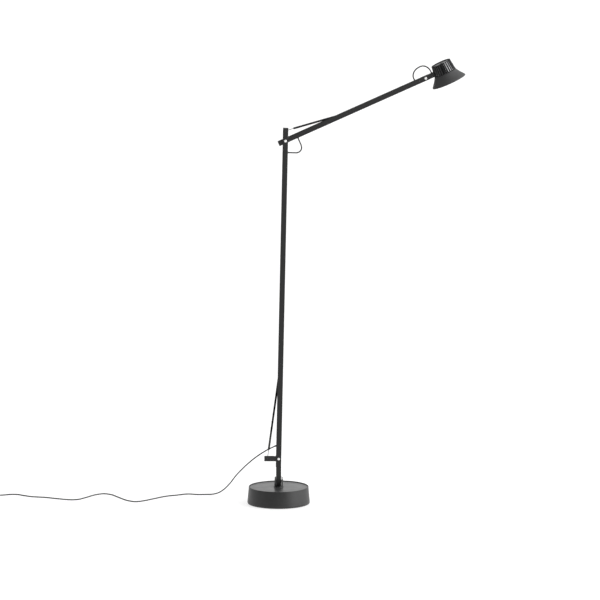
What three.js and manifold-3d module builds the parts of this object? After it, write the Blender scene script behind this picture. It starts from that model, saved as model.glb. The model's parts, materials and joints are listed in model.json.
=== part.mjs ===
// Adjustable arm floor lamp, as an assembly of separate pieces. Millimetres, +Z up.
// The origin is the centre of the base's underside. The arm reaches towards +X, and the lever and the power
// cord leave towards -X. Mast, arm and head are nested groups, each with its pivot at its own origin.
import * as THREE from "three";
import { mergeVertices } from "three/addons/utils/BufferGeometryUtils.js";
import Module from "manifold-3d";

const wasm = await Module();
wasm.setup();

// ---------------------------------------------------------------- driving dimensions
const GAP = 0.3; // clearance between pieces that touch
const DEG = Math.PI / 180;

const BASE_HEIGHT = 65.5;
const BASE_TOP_RADIUS = 112.5;
const BASE_BOTTOM_RADIUS = 117.5;
const RIM_WIDTH = 3.5;
const RIM_DEPTH = 3.5; // the top plate lies this far below the rim
const TOP_PLATE = 3;
const DECK_TOP = BASE_HEIGHT - RIM_DEPTH - TOP_PLATE - GAP;
const DECK_BOTTOM = DECK_TOP - 4;
const PAD_RADIUS = 108;
const PAD_HEIGHT = 3.2;
const BOTTOM_PLATE = 2;
const BALLAST_RADIUS = 104;
const BALLAST_BORE = 14;
const BALLAST_BOTTOM = PAD_HEIGHT + BOTTOM_PLATE + 2 * GAP; // it lies on the bottom plate
const BALLAST_TOP = BALLAST_BOTTOM + 15;

const BUSH_RADIUS = 11.6;
const BUSH_FLANGE_RADIUS = 19.5;
const BUSH_TOP = 63.8;
const BUSH_BOTTOM = DECK_BOTTOM - 6;
const SWIVEL_BOLT_RADIUS = 4;

const HOLDER_BOTTOM = BUSH_TOP + GAP;
const HOLDER_TOP = 101.5;
const HOLDER_SLOT_FLOOR = 69.9;

const LOWER_PIVOT_HEIGHT = 171.5;
const MAST_LEAN = 1.23; // degrees from the vertical, towards +X
const MAST_PIVOTS = 1211; // lower pivot to upper pivot
const ARM_ANGLE = 24.27; // degrees above the horizontal
const ARM_PIVOTS = 575; // upper pivot to head pivot

const MAST_SIZE = 20.4; // outside, both ways
const MAST_WALL = 2;
const MAST_FOOT = 30; // fork below the lower pivot
const MAST_STUB = 47.5; // fork above the upper pivot
const LOWER_SLOT = 16; // the web starts this far above the lower pivot
const UPPER_SLOT = 38; // and stops this far below the upper pivot

const ARM_HEIGHT = 19;
const ARM_DEPTH = 12;
const ARM_WALL = 1.5;
const ARM_REAR = 26.5; // stub behind the upper pivot
const ARM_FRONT = 13; // ears past the head pivot
const ARM_SLOT = 11; // the floor web stops this far before the head pivot

const PIN_RADIUS = 4;
const HEAD_PIN_RADIUS = 3;
const PIN_HEAD_RADIUS = 4.9;
const HOOK_PIN_RADIUS = 1.5;
const HOOK_OFFSET = 42; // the lower spring's hook, behind the lower pivot
const UPPER_HOOK = 37.5; // the upper spring's hook, above the upper pivot
const LOWER_ANCHOR = 365; // the lower spring's anchor in the mast, above the lower pivot
const UPPER_ANCHOR = 252; // the upper spring's anchor in the arm, from the upper pivot
const SPRING_RADIUS = 4;
const SPRING_WIRE = 0.9;
const LEVER_LENGTH = 54;
const POST_HALF_WIDTH = 8.5;

const CABLE_RADIUS = 2.4;
const JOINT_HOLE_DROP = 45; // the cable leaves the mast this far below the upper pivot
const ARM_HOLE = 47; // and enters the arm this far from it
const ARM_EXIT = 533.5;
const NECK_HOLE = 27;

const SHADE_AXIS = 73.5; // from the head pivot, along the arm
const CROWN_TOP = 30;
const CROWN_BOTTOM = -11;
const BRIM_BOTTOM = -48.5;
const CROWN_TOP_RADIUS = 37.75;
const CROWN_BOTTOM_RADIUS = 43;
const BRIM_RADIUS = 66.5;
const FIN_COUNT = 30;
const FIN_DEPTH = 2.6;
const FIN_PHASE = 3; // degrees; it puts a groove's middle at the neck
const LAND_HALF_ANGLE = 5; // that groove is left out, so the neck meets a plain land
const RECESS_RADIUS = 33.5;
const BUTTON_RADIUS = 7;

const CORD_RADIUS = 2.2;
const FLOOR_CORD = 2.3; // height of the centreline of a cord that lies on the floor
const COIL_CENTRE = [-1104, 114.4];
const COIL_MIDDLE_RADIUS = 24;
const COIL_BAND = 8.9; // half the width of the band of turns
const COIL_HEIGHT = 8.6;
const PLUG_CENTRE = [-1132.4, 46.4];

// ---------------------------------------------------------------- materials
const FINISHES = {
  black_coat: { color: 0x1d1e1f, roughness: 0.55, metalness: 0.2 },
  base_coat: { color: 0x2b2c2d, roughness: 0.6, metalness: 0.2 },
  top_plate: { color: 0x55585a, roughness: 0.5, metalness: 0.3 },
  nickel: { color: 0xcfcfcb, roughness: 0.25, metalness: 1 },
  zinc: { color: 0x9a9c9d, roughness: 0.4, metalness: 1 },
  cast_iron: { color: 0x3a3836, roughness: 0.8, metalness: 0.6 },
  spring_steel: { color: 0x232323, roughness: 0.4, metalness: 0.8 },
  black_plastic: { color: 0x151515, roughness: 0.6, metalness: 0 },
  rubber: { color: 0x101010, roughness: 0.9, metalness: 0 },
  cable: { color: 0x1a1a1a, roughness: 0.65, metalness: 0 },
  nylon: { color: 0x6d6f70, roughness: 0.5, metalness: 0 },
  board: { color: 0x1f4a2c, roughness: 0.5, metalness: 0 },
  white_board: { color: 0xe9e9e4, roughness: 0.5, metalness: 0 },
  reflector: { color: 0xdedfe0, roughness: 0.2, metalness: 1 },
  opal: { color: 0xf1efe8, roughness: 0.35, metalness: 0 },
};

const lamp = new THREE.Group();

function piece(parent, name, geometry, finish) {
  const mesh = new THREE.Mesh(geometry, new THREE.MeshStandardMaterial(FINISHES[finish]));
  mesh.name = name;
  parent.add(mesh);
  return mesh;
}

// ---------------------------------------------------------------- solids
function toSolid(geometry) {
  const bare = geometry.index ? geometry.toNonIndexed() : geometry.clone();
  bare.deleteAttribute("normal");
  bare.deleteAttribute("uv");
  const merged = mergeVertices(bare, 1e-4);
  const vertProperties = new Float32Array(merged.attributes.position.array);
  const triVerts = new Uint32Array(merged.index.array);
  if (signedVolume(vertProperties, triVerts) < 0) {
    for (let i = 0; i < triVerts.length; i += 3) {
      [triVerts[i + 1], triVerts[i + 2]] = [triVerts[i + 2], triVerts[i + 1]];
    }
  }
  return new wasm.Manifold(new wasm.Mesh({ numProp: 3, vertProperties, triVerts }));
}

function signedVolume(xyz, triangles) {
  let six = 0;
  const a = new THREE.Vector3();
  const b = new THREE.Vector3();
  const c = new THREE.Vector3();
  for (let i = 0; i < triangles.length; i += 3) {
    a.fromArray(xyz, 3 * triangles[i]);
    b.fromArray(xyz, 3 * triangles[i + 1]);
    c.fromArray(xyz, 3 * triangles[i + 2]);
    six += a.dot(b.cross(c));
  }
  return six;
}

function toGeometry(solid) {
  const mesh = solid.getMesh();
  const geometry = new THREE.BufferGeometry();
  geometry.setAttribute("position", new THREE.BufferAttribute(mesh.vertProperties, 3));
  geometry.setIndex(new THREE.BufferAttribute(mesh.triVerts, 1));
  const flat = geometry.toNonIndexed();
  flat.computeVertexNormals();
  return flat;
}

// The first geometry joined with some and cut by others.
function combine(geometry, { join = [], cut = [] }) {
  let solid = toSolid(geometry);
  for (const other of join) solid = solid.add(toSolid(other));
  for (const other of cut) solid = solid.subtract(toSolid(other));
  return toGeometry(solid);
}

// A closed geometry with its faces turned outwards.
function closed(geometry) {
  return toGeometry(toSolid(geometry));
}

function box(x0, x1, y0, y1, z0, z1) {
  const geometry = new THREE.BoxGeometry(x1 - x0, y1 - y0, z1 - z0);
  return geometry.translate((x0 + x1) / 2, (y0 + y1) / 2, (z0 + z1) / 2);
}

// A turned solid on the Z axis: profile is a list of [radius, z].
function turned(profile, segments = 16) {
  const points = profile.map(([r, z]) => new THREE.Vector2(r, z));
  const first = profile[0];
  const last = profile[profile.length - 1];
  if (first[0] > 0 || last[0] > 0) points.push(points[0].clone());
  return closed(new THREE.LatheGeometry(points, segments).rotateX(Math.PI / 2));
}

function rod(radius, z0, z1, segments = 16) {
  return turned([[0, z0], [radius, z0], [radius, z1], [0, z1]], segments);
}

function ring(inner, outer, z0, z1, segments = 16) {
  return turned([[inner, z0], [outer, z0], [outer, z1], [inner, z1]], segments);
}

function hexNut(bore, corner, z0, z1) {
  return combine(rod(corner, z0, z1, 6), { cut: [rod(bore, z0 - 1, z1 + 1, 20)] });
}

// Turns a solid that was made along Z so that it lies along Y or X, then moves it.
function alongY(geometry, x, z) {
  return geometry.rotateX(-Math.PI / 2).translate(x, 0, z);
}

function alongX(geometry, y, z) {
  return geometry.rotateY(Math.PI / 2).translate(0, y, z);
}

function hole(radius, length, x, z) {
  return alongY(rod(radius, -length / 2, length / 2), x, z);
}

// An outline in the XY plane, pulled up along Z.
function prism(outline, z0, z1) {
  const shape = new THREE.Shape(outline.map(([x, y]) => new THREE.Vector2(x, y)));
  const depth = z1 - z0;
  return closed(new THREE.ExtrudeGeometry(shape, { depth, bevelEnabled: false }).translate(0, 0, z0));
}

function arc(cx, cy, radius, from, to, steps) {
  const points = [];
  for (let i = 0; i <= steps; i++) {
    const angle = (from + ((to - from) * i) / steps) * DEG;
    points.push([cx + radius * Math.cos(angle), cy + radius * Math.sin(angle)]);
  }
  return points;
}

function roundedRectangle(halfX, halfY, radius, steps = 3) {
  return [
    ...arc(halfX - radius, halfY - radius, radius, 0, 90, steps),
    ...arc(-halfX + radius, halfY - radius, radius, 90, 180, steps),
    ...arc(-halfX + radius, -halfY + radius, radius, 180, 270, steps),
    ...arc(halfX - radius, -halfY + radius, radius, 270, 360, steps),
  ];
}

// A smooth curve through hand-placed points that is sampled evenly from point to point, so that a tube has
// its rings where the bends are.
class Route extends THREE.CatmullRomCurve3 {
  constructor(points) {
    super(points.map((p) => new THREE.Vector3(...p)), false, "centripetal");
  }

  getPointAt(t, target) {
    return this.getPoint(t, target);
  }

  getTangentAt(t, target) {
    return this.getTangent(t, target);
  }
}

function tube(route, radius, stepsPerPoint, sides = 8) {
  const curve = new Route(route);
  const steps = stepsPerPoint * (route.length - 1);
  const section = new THREE.Shape(arc(0, 0, radius, 0, 360 - 360 / sides, sides - 1)
    .map(([x, y]) => new THREE.Vector2(x, y)));
  return closed(new THREE.ExtrudeGeometry(section, { steps, extrudePath: curve, bevelEnabled: false }));
}

// A skin over a row of closed loops with the same number of points, closed by a single point at each end.
function skin(first, loops, last) {
  const count = loops[0].length;
  const positions = [];
  const triangle = (a, b, c) => positions.push(...a, ...b, ...c);
  for (let i = 0; i < count; i++) {
    const j = (i + 1) % count;
    triangle(first, loops[0][i], loops[0][j]);
    triangle(last, loops[loops.length - 1][j], loops[loops.length - 1][i]);
    for (let k = 0; k + 1 < loops.length; k++) {
      triangle(loops[k][i], loops[k + 1][i], loops[k][j]);
      triangle(loops[k][j], loops[k + 1][i], loops[k + 1][j]);
    }
  }
  const geometry = new THREE.BufferGeometry();
  geometry.setAttribute("position", new THREE.Float32BufferAttribute(positions, 3));
  return closed(geometry);
}

// ---------------------------------------------------------------- base
function makeBase() {
  const rimInner = BASE_TOP_RADIUS - RIM_WIDTH;
  const housing = [
    [BUSH_RADIUS + 0.6, DECK_TOP],
    [rimInner, DECK_TOP],
    [rimInner, BASE_HEIGHT],
    [BASE_TOP_RADIUS - 0.6, BASE_HEIGHT],
    [BASE_TOP_RADIUS, BASE_HEIGHT - 1],
    [BASE_BOTTOM_RADIUS, 10],
    [BASE_BOTTOM_RADIUS - 0.5, 5.5],
    [BASE_BOTTOM_RADIUS - 1.8, 3.2],
    [BASE_BOTTOM_RADIUS - 4.5, 2],
    [110, 2],
    [112, 12],
    [108.6, DECK_BOTTOM],
    [BUSH_RADIUS + 0.6, DECK_BOTTOM],
  ];
  piece(lamp, "base_housing", turned(housing, 36), "base_coat");
  const plateTop = BASE_HEIGHT - RIM_DEPTH;
  const plate = ring(BUSH_RADIUS + 0.6, rimInner - GAP, plateTop - TOP_PLATE, plateTop, 36);
  piece(lamp, "base_top_plate", plate, "top_plate");
  const ballast = ring(BALLAST_BORE, BALLAST_RADIUS, BALLAST_BOTTOM, BALLAST_TOP, 32);
  piece(lamp, "ballast_disc", ballast, "cast_iron");
  const plateBottom = PAD_HEIGHT + GAP;
  piece(lamp, "base_bottom_plate", rod(109.2, plateBottom, plateBottom + BOTTOM_PLATE, 32), "zinc");
  piece(lamp, "foot_pad", rod(PAD_RADIUS, 0, PAD_HEIGHT, 32), "rubber");
  const bush = [
    [SWIVEL_BOLT_RADIUS + GAP, BUSH_BOTTOM],
    [BUSH_RADIUS, BUSH_BOTTOM],
    [BUSH_RADIUS, plateTop + GAP],
    [BUSH_FLANGE_RADIUS, plateTop + GAP],
    [BUSH_FLANGE_RADIUS, BUSH_TOP],
    [SWIVEL_BOLT_RADIUS + GAP, BUSH_TOP],
  ];
  piece(lamp, "swivel_bush", turned(bush, 24), "nylon");
}

// ---------------------------------------------------------------- foot: holder, post and lever
function makeFoot() {
  const slotHalf = POST_HALF_WIDTH + GAP;
  const cone = [
    [0, HOLDER_BOTTOM],
    [17.2, HOLDER_BOTTOM],
    [17.2, HOLDER_BOTTOM + 1],
    [16.4, HOLDER_BOTTOM + 2],
    [14.9, HOLDER_TOP - 1],
    [14, HOLDER_TOP],
    [0, HOLDER_TOP],
  ];
  const crossHeight = 89.5;
  const holder = combine(turned(cone, 28), {
    cut: [
      box(-slotHalf, slotHalf, -30, 30, HOLDER_SLOT_FLOOR, HOLDER_TOP + 5),
      rod(SWIVEL_BOLT_RADIUS + GAP, HOLDER_BOTTOM - 1, HOLDER_SLOT_FLOOR + 1),
      rod(7.3, HOLDER_SLOT_FLOOR - 4, HOLDER_SLOT_FLOOR + 1),
      alongX(rod(2.2, -30, 30), 0, crossHeight),
    ],
  });
  piece(lamp, "post_holder", holder, "black_coat");
  const headBottom = HOLDER_SLOT_FLOOR - 4 + GAP;
  const nutTop = BUSH_BOTTOM - GAP;
  const boltBottom = nutTop - 10;
  const bolt = [
    [0, boltBottom],
    [SWIVEL_BOLT_RADIUS, boltBottom],
    [SWIVEL_BOLT_RADIUS, headBottom],
    [6.8, headBottom],
    [6.8, HOLDER_SLOT_FLOOR - 0.2],
    [0, HOLDER_SLOT_FLOOR - 0.2],
  ];
  piece(lamp, "swivel_bolt", turned(bolt), "zinc");
  const flange = ring(SWIVEL_BOLT_RADIUS + 0.2, 11, nutTop - 1.6, nutTop);
  const hexagon = hexNut(SWIVEL_BOLT_RADIUS + 0.2, 7.5, nutTop - 7.5, nutTop - 1);
  const nut = combine(hexagon, { join: [flange] });
  piece(lamp, "swivel_nut", nut, "zinc");
  const screw = [
    [0, -15.8],
    [1.9, -15.8],
    [1.9, 15.8],
    [3.8, 15.8],
    [3.2, 17.8],
    [0, 17.8],
  ];
  piece(lamp, "holder_screw", alongX(turned(screw, 12), 0, crossHeight), "zinc");

  const top = LOWER_PIVOT_HEIGHT;
  const halfDepth = ARM_DEPTH / 2;
  const outline = [
    [-POST_HALF_WIDTH, HOLDER_SLOT_FLOOR + 0.2],
    [POST_HALF_WIDTH, HOLDER_SLOT_FLOOR + 0.2],
    ...arc(0, top, POST_HALF_WIDTH, 0, 180, 8),
  ];
  const lockHeight = -6.9;
  const post = combine(prism(outline, -halfDepth, halfDepth).rotateX(Math.PI / 2), {
    cut: [
      hole(PIN_RADIUS + 0.2, 40, 0, top),
      alongX(rod(2.2, -30, 30, 12), 0, crossHeight),
      alongX(rod(1.8, -30, 30, 12), 0, top + lockHeight),
      alongX(rod(3.2, 6, 30, 12), 0, top + lockHeight),
    ],
  });
  piece(lamp, "lower_post", post, "black_coat");

  const lever = new THREE.Group();
  lever.position.z = top;
  lamp.add(lever);
  const end = -POST_HALF_WIDTH - GAP;
  const half = ARM_HEIGHT / 2;
  const inner = halfDepth - ARM_WALL;
  const bar = box(-LEVER_LENGTH, end, -halfDepth, halfDepth, -half, half);
  const channel = combine(bar, {
    cut: [
      box(-LEVER_LENGTH + 2, end - 7, -inner, inner, -half + 2, half + 1),
      hole(HOOK_PIN_RADIUS + GAP, 40, -HOOK_OFFSET, 0),
      alongX(rod(1.75, -14.5, 0, 12), 0, lockHeight),
    ],
  });
  piece(lever, "spring_lever", channel, "black_coat");
  const lock = [
    [0, -14],
    [1.5, -14],
    [1.5, 6.3],
    [2.9, 6.3],
    [2.9, 8.3],
    [0, 8.3],
  ];
  piece(lever, "lever_screw", alongX(turned(lock, 12), 0, lockHeight), "zinc");
  const hookPin = alongY(rod(HOOK_PIN_RADIUS, -halfDepth - 0.2, halfDepth + 0.2, 12), -HOOK_OFFSET, 0);
  piece(lever, "lever_hook_pin", hookPin, "black_coat");
  makePivot(lever, "lower", 0, PIN_RADIUS, MAST_SIZE / 2, MAST_SIZE / 2 - MAST_WALL, halfDepth);
}

// A pin with a domed head in front, its nut behind, and two friction washers inside the fork.
function makePivot(parent, name, x, radius, outer, earInside, memberSide) {
  const front = -outer - 0.2;
  const back = outer + 0.2;
  const pin = [
    [0, front - 1.8],
    [PIN_HEAD_RADIUS - 1.6, front - 1.7],
    [PIN_HEAD_RADIUS - 0.3, front - 1],
    [PIN_HEAD_RADIUS, front],
    [radius, front],
    [radius, back + 4.4],
    [radius - 0.6, back + 5],
    [0, back + 5],
  ];
  piece(parent, `${name}_pin`, alongY(turned(pin), x, 0), "nickel");
  const nut = hexNut(radius + 0.2, radius + 3.4, back, back + 4);
  piece(parent, `${name}_pin_nut`, alongY(nut, x, 0), "zinc");
  const washerIn = memberSide + 0.2;
  const washerOut = earInside - 0.2;
  const washerRadius = radius + 3.6;
  piece(parent, `${name}_washer_back`,
    alongY(ring(radius + 0.2, washerRadius, washerIn, washerOut), x, 0), "nylon");
  piece(parent, `${name}_washer_front`,
    alongY(ring(radius + 0.2, washerRadius, -washerOut, -washerIn), x, 0), "nylon");
}

// A spring as one plain turned solid on the Z axis: a straight wire hook below, and the coil above it.
function springSolid(length, hookLength, tail) {
  return turned([
    [0, HOOK_PIN_RADIUS + GAP],
    [SPRING_WIRE, HOOK_PIN_RADIUS + GAP],
    [SPRING_WIRE, hookLength],
    [SPRING_RADIUS, hookLength],
    [SPRING_RADIUS, length - tail],
    [SPRING_WIRE, length - tail],
    [SPRING_WIRE, length - HOOK_PIN_RADIUS - GAP],
    [0, length - HOOK_PIN_RADIUS - GAP],
  ], 10);
}

// Lays that solid in the XZ plane from one point to another.
function laySpring(geometry, from, to) {
  const angle = Math.atan2(to[0] - from[0], to[1] - from[1]);
  return geometry.rotateY(angle).translate(from[0], 0, from[1]);
}

function distance(from, to) {
  return Math.hypot(to[0] - from[0], to[1] - from[1]);
}

// A flanged sleeve that lines a cable hole, on the Z axis, with its flange outside.
function grommet(inside, outside) {
  const bore = CABLE_RADIUS + 0.25;
  return turned([
    [bore, inside],
    [3.4, inside],
    [3.4, outside + 0.2],
    [4.5, outside + 0.2],
    [4.2, outside + 1],
    [bore, outside + 1],
  ], 14);
}

// ---------------------------------------------------------------- mast
function makeMast() {
  const mast = new THREE.Group();
  mast.position.z = LOWER_PIVOT_HEIGHT;
  mast.rotation.y = MAST_LEAN * DEG;
  lamp.add(mast);

  const half = MAST_SIZE / 2;
  const inner = half - MAST_WALL;
  const corner = 2.5;
  const section = [
    [-half, inner],
    [inner - 0.5, inner],
    [inner, inner - 0.5],
    [inner, -inner + 0.5],
    [inner - 0.5, -inner],
    [-half, -inner],
    [-half, -half],
    ...arc(half - corner, -half + corner, corner, 270, 360, 3),
    ...arc(half - corner, half - corner, corner, 0, 90, 3),
    [-half, half],
  ];
  const top = MAST_PIVOTS + MAST_STUB;
  const gromHeight = MAST_PIVOTS - JOINT_HOLE_DROP;
  const clampHeight = 51;
  const channel = combine(prism(section, -MAST_FOOT, top), {
    cut: [
      box(inner - 1, half + 1, -inner, inner, -MAST_FOOT - 1, LOWER_SLOT),
      box(inner - 1, half + 1, -inner, inner, MAST_PIVOTS - UPPER_SLOT, top + 1),
      hole(PIN_RADIUS + 0.3, 40, 0, 0),
      hole(PIN_RADIUS + 0.3, 40, 0, MAST_PIVOTS),
      hole(HOOK_PIN_RADIUS + GAP, 40, 0, MAST_PIVOTS + UPPER_HOOK),
      hole(HOOK_PIN_RADIUS + GAP, 40, 0, LOWER_ANCHOR),
      alongX(rod(3.7, inner - 2, half + 2, 14), 0, gromHeight),
    ],
  });
  piece(mast, "mast", channel, "black_coat");

  const cap = prism(roundedRectangle(half - 0.4, inner - GAP, 1.5, 2), top - 4, top + 0.6);
  piece(mast, "mast_top_cap", cap, "black_plastic");
  const anchor = alongY(rod(HOOK_PIN_RADIUS, -half - 0.4, half + 0.4, 12), 0, LOWER_ANCHOR);
  piece(mast, "mast_anchor_pin", anchor, "black_coat");
  const hook = alongY(rod(HOOK_PIN_RADIUS, -half - 0.4, half + 0.4, 12), 0, MAST_PIVOTS + UPPER_HOOK);
  piece(mast, "upper_hook_pin", hook, "black_coat");

  // The clamp holds the power cord in the channel, and the strain relief leads it out of the open side.
  const clampBody = box(-5.4, inner - GAP, -inner + GAP, inner - GAP, clampHeight - 9, clampHeight + 11);
  const reliefTilt = 68;
  const relief = turned([
    [CORD_RADIUS + 0.2, 0],
    [4.2, 0],
    [4.2, 5],
    [3.9, 6],
    [3, 21],
    [CORD_RADIUS + 0.2, 21],
  ], 12).rotateY((180 + reliefTilt) * DEG).translate(3, -2.5, clampHeight + 4);
  const bore = rod(4.6, -2, 30, 12).rotateY((180 + reliefTilt) * DEG).translate(3, -2.5, clampHeight + 4);
  const cableBore = rod(CABLE_RADIUS + 0.3, clampHeight + 2, clampHeight + 20, 12).translate(2.6, 4.2, 0);
  const clamp = combine(clampBody, { cut: [bore, cableBore] });
  piece(mast, "cord_clamp", clamp, "black_plastic");
  piece(mast, "strain_relief", relief, "rubber");

  // The inner cable runs up the channel's back corner and leaves through a hole in the web.
  const runX = inner - CABLE_RADIUS - 0.6;
  const runY = inner - CABLE_RADIUS - 0.5;
  const route = [
    [2.6, 4.2, clampHeight + 5],
    [2.9, 4.3, clampHeight + 20],
    [runX, runY, clampHeight + 45],
    [runX, runY, clampHeight + 80],
    [runX, runY, gromHeight - 100],
    [runX, runY, gromHeight - 60],
    [1, 2.5, gromHeight - 32],
    [-2.6, 0.6, gromHeight - 16],
    [-2.2, 0, gromHeight - 7],
    [1, 0, gromHeight - 1.4],
    [6, 0, gromHeight],
    [half + 1.4, 0, gromHeight],
  ];
  piece(mast, "mast_cable", tube(route, CABLE_RADIUS, 2), "cable");
  piece(mast, "mast_grommet", alongX(grommet(inner - 0.2, half), 0, gromHeight), "rubber");

  const from = [-HOOK_OFFSET, 0];
  const lean = -MAST_LEAN * DEG;
  const hooked = [from[0] * Math.cos(lean), -from[0] * Math.sin(lean)];
  const anchored = [0, LOWER_ANCHOR];
  const solid = springSolid(distance(hooked, anchored), 34, 16);
  piece(mast, "lower_spring", laySpring(solid, hooked, anchored), "spring_steel");

  const joint = new THREE.Group();
  joint.position.z = MAST_PIVOTS;
  mast.add(joint);
  makePivot(joint, "upper", 0, PIN_RADIUS, half, inner, ARM_DEPTH / 2);
  return mast;
}

// ---------------------------------------------------------------- arm
function makeArm(mast) {
  const arm = new THREE.Group();
  arm.position.z = MAST_PIVOTS;
  arm.rotation.y = -(ARM_ANGLE + MAST_LEAN) * DEG;
  mast.add(arm);

  const half = ARM_HEIGHT / 2;
  const side = ARM_DEPTH / 2;
  const inner = side - ARM_WALL;
  const floor = -half + 1.7;
  const corner = 1.2;
  // The section is drawn with x across the arm and y up, then turned to run along X.
  const section = [
    [-side, half],
    ...arc(-side + corner, -half + corner, corner, 180, 270, 2),
    ...arc(side - corner, -half + corner, corner, 270, 360, 2),
    [side, half],
    [inner, half],
    [inner, floor],
    [-inner, floor],
    [-inner, half],
  ];
  const run = prism(section, -ARM_REAR, ARM_PIVOTS + ARM_FRONT).rotateX(Math.PI / 2).rotateZ(Math.PI / 2);
  const spacer = ARM_PIVOTS - 26;
  const channel = combine(run, {
    cut: [
      box(ARM_PIVOTS - ARM_SLOT, ARM_PIVOTS + 30, -inner, inner, -half - 1, floor + 1),
      hole(PIN_RADIUS + 0.2, 40, 0, 0),
      hole(HEAD_PIN_RADIUS + 0.3, 40, ARM_PIVOTS, 0),
      hole(HOOK_PIN_RADIUS + GAP, 40, UPPER_ANCHOR, 0.5),
      hole(HOOK_PIN_RADIUS + GAP, 40, spacer, 0),
      rod(3.7, -half - 2, floor + 2, 14).translate(ARM_HOLE, 0, 0),
    ],
  });
  piece(arm, "arm", channel, "black_coat");
  const cap = box(-ARM_REAR - 1.6, -ARM_REAR - GAP, -side, side, -half, half);
  const tongue = box(-ARM_REAR - 1.6, -ARM_REAR + 7, -inner + GAP, inner - GAP, floor + GAP, half);
  piece(arm, "arm_end_cap", combine(cap, { join: [tongue] }), "black_plastic");
  const anchor = alongY(rod(HOOK_PIN_RADIUS, -side - 0.3, side + 0.3, 12), UPPER_ANCHOR, 0.5);
  piece(arm, "arm_anchor_pin", anchor, "black_coat");
  const block = combine(box(spacer - 7, spacer + 7, -inner + 0.2, inner - 0.2, floor + GAP, half - 0.5), {
    cut: [hole(HOOK_PIN_RADIUS + GAP, 40, spacer, 0)],
  });
  piece(arm, "arm_spacer", block, "black_plastic");
  const screw = [
    [0, -side - 1.4],
    [2, -side - 1.2],
    [2.4, -side - 0.2],
    [HOOK_PIN_RADIUS, -side - 0.2],
    [HOOK_PIN_RADIUS, side + 0.4],
    [0, side + 0.4],
  ];
  piece(arm, "spacer_screw", alongY(turned(screw, 14), spacer, 0), "black_plastic");

  const grom = grommet(-floor - 0.2, half).rotateX(Math.PI).translate(ARM_HOLE, 0, 0);
  piece(arm, "arm_grommet", closed(grom), "rubber");
  const runY = inner - CABLE_RADIUS - 0.25;
  const runZ = floor + CABLE_RADIUS + 0.35;
  const route = [
    [ARM_HOLE, 0, -half - 1.4],
    [ARM_HOLE, 0, -half + 1.8],
    [ARM_HOLE + 1.4, 0, -2.6],
    [ARM_HOLE + 6.5, 0.2, 1],
    [ARM_HOLE + 16, 0.8, 0],
    [ARM_HOLE + 32, runY - 0.2, runZ + 0.6],
    [ARM_HOLE + 60, runY, runZ],
    [ARM_EXIT - 80, runY, runZ],
    [ARM_EXIT - 40, runY, runZ],
    [ARM_EXIT - 22, 1.4, -3.8],
    [ARM_EXIT - 7, 0.4, 0],
    [ARM_EXIT - 0.5, 0, 6],
    [ARM_EXIT, 0, half + 1.2],
  ];
  piece(arm, "arm_cable", tube(route, CABLE_RADIUS, 2), "cable");

  // The joint cable loops from the mast's hole to the arm's hole. Points are in the arm's own frame.
  const tilt = (ARM_ANGLE + MAST_LEAN) * DEG;
  const inArm = ([x, z]) => [
    x * Math.cos(tilt) + z * Math.sin(tilt),
    0,
    -x * Math.sin(tilt) + z * Math.cos(tilt),
  ];
  const loop = [
    [MAST_SIZE / 2 + 1.8, -JOINT_HOLE_DROP],
    [19, -JOINT_HOLE_DROP],
    [34, -45.2],
    [46, -44.5],
    [56, -38.5],
    [61, -27.5],
    [58.8, -15],
    [54.2, -5.2],
  ].map(inArm);
  loop.push([ARM_HOLE, 0, -half - 9], [ARM_HOLE, 0, -half - 1.8]);
  piece(arm, "joint_cable", tube(loop, CABLE_RADIUS, 2), "cable");

  const hooked = inArm([0, UPPER_HOOK]);
  const from = [hooked[0], hooked[2]];
  const anchored = [UPPER_ANCHOR, 0.5];
  const solid = springSolid(distance(from, anchored), 30, 16);
  piece(arm, "upper_spring", laySpring(solid, from, anchored), "spring_steel");

  const joint = new THREE.Group();
  joint.position.x = ARM_PIVOTS;
  arm.add(joint);
  makePivot(joint, "head", 0, HEAD_PIN_RADIUS, side, inner, 3.5);
  return arm;
}

// ---------------------------------------------------------------- head
function crownRadius(z) {
  const share = (CROWN_TOP - z) / (CROWN_TOP - CROWN_BOTTOM);
  return CROWN_TOP_RADIUS + share * (CROWN_BOTTOM_RADIUS - CROWN_TOP_RADIUS);
}

// The crown's outline at one height, with its fins and the grooves between them.
function finLoop(radius, z) {
  const loop = [];
  const pitch = 360 / FIN_COUNT;
  const corners = [[0.04, 0], [0.46, 0], [0.56, FIN_DEPTH], [0.94, FIN_DEPTH]];
  for (let i = 0; i < FIN_COUNT; i++) {
    for (const [turn, drop] of corners) {
      const degrees = (i + turn) * pitch + FIN_PHASE;
      const onLand = Math.abs(degrees - 180) < LAND_HALF_ANGLE;
      const reach = onLand ? radius : radius - drop;
      loop.push([reach * Math.cos(degrees * DEG), reach * Math.sin(degrees * DEG), z]);
    }
  }
  return loop;
}

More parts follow.
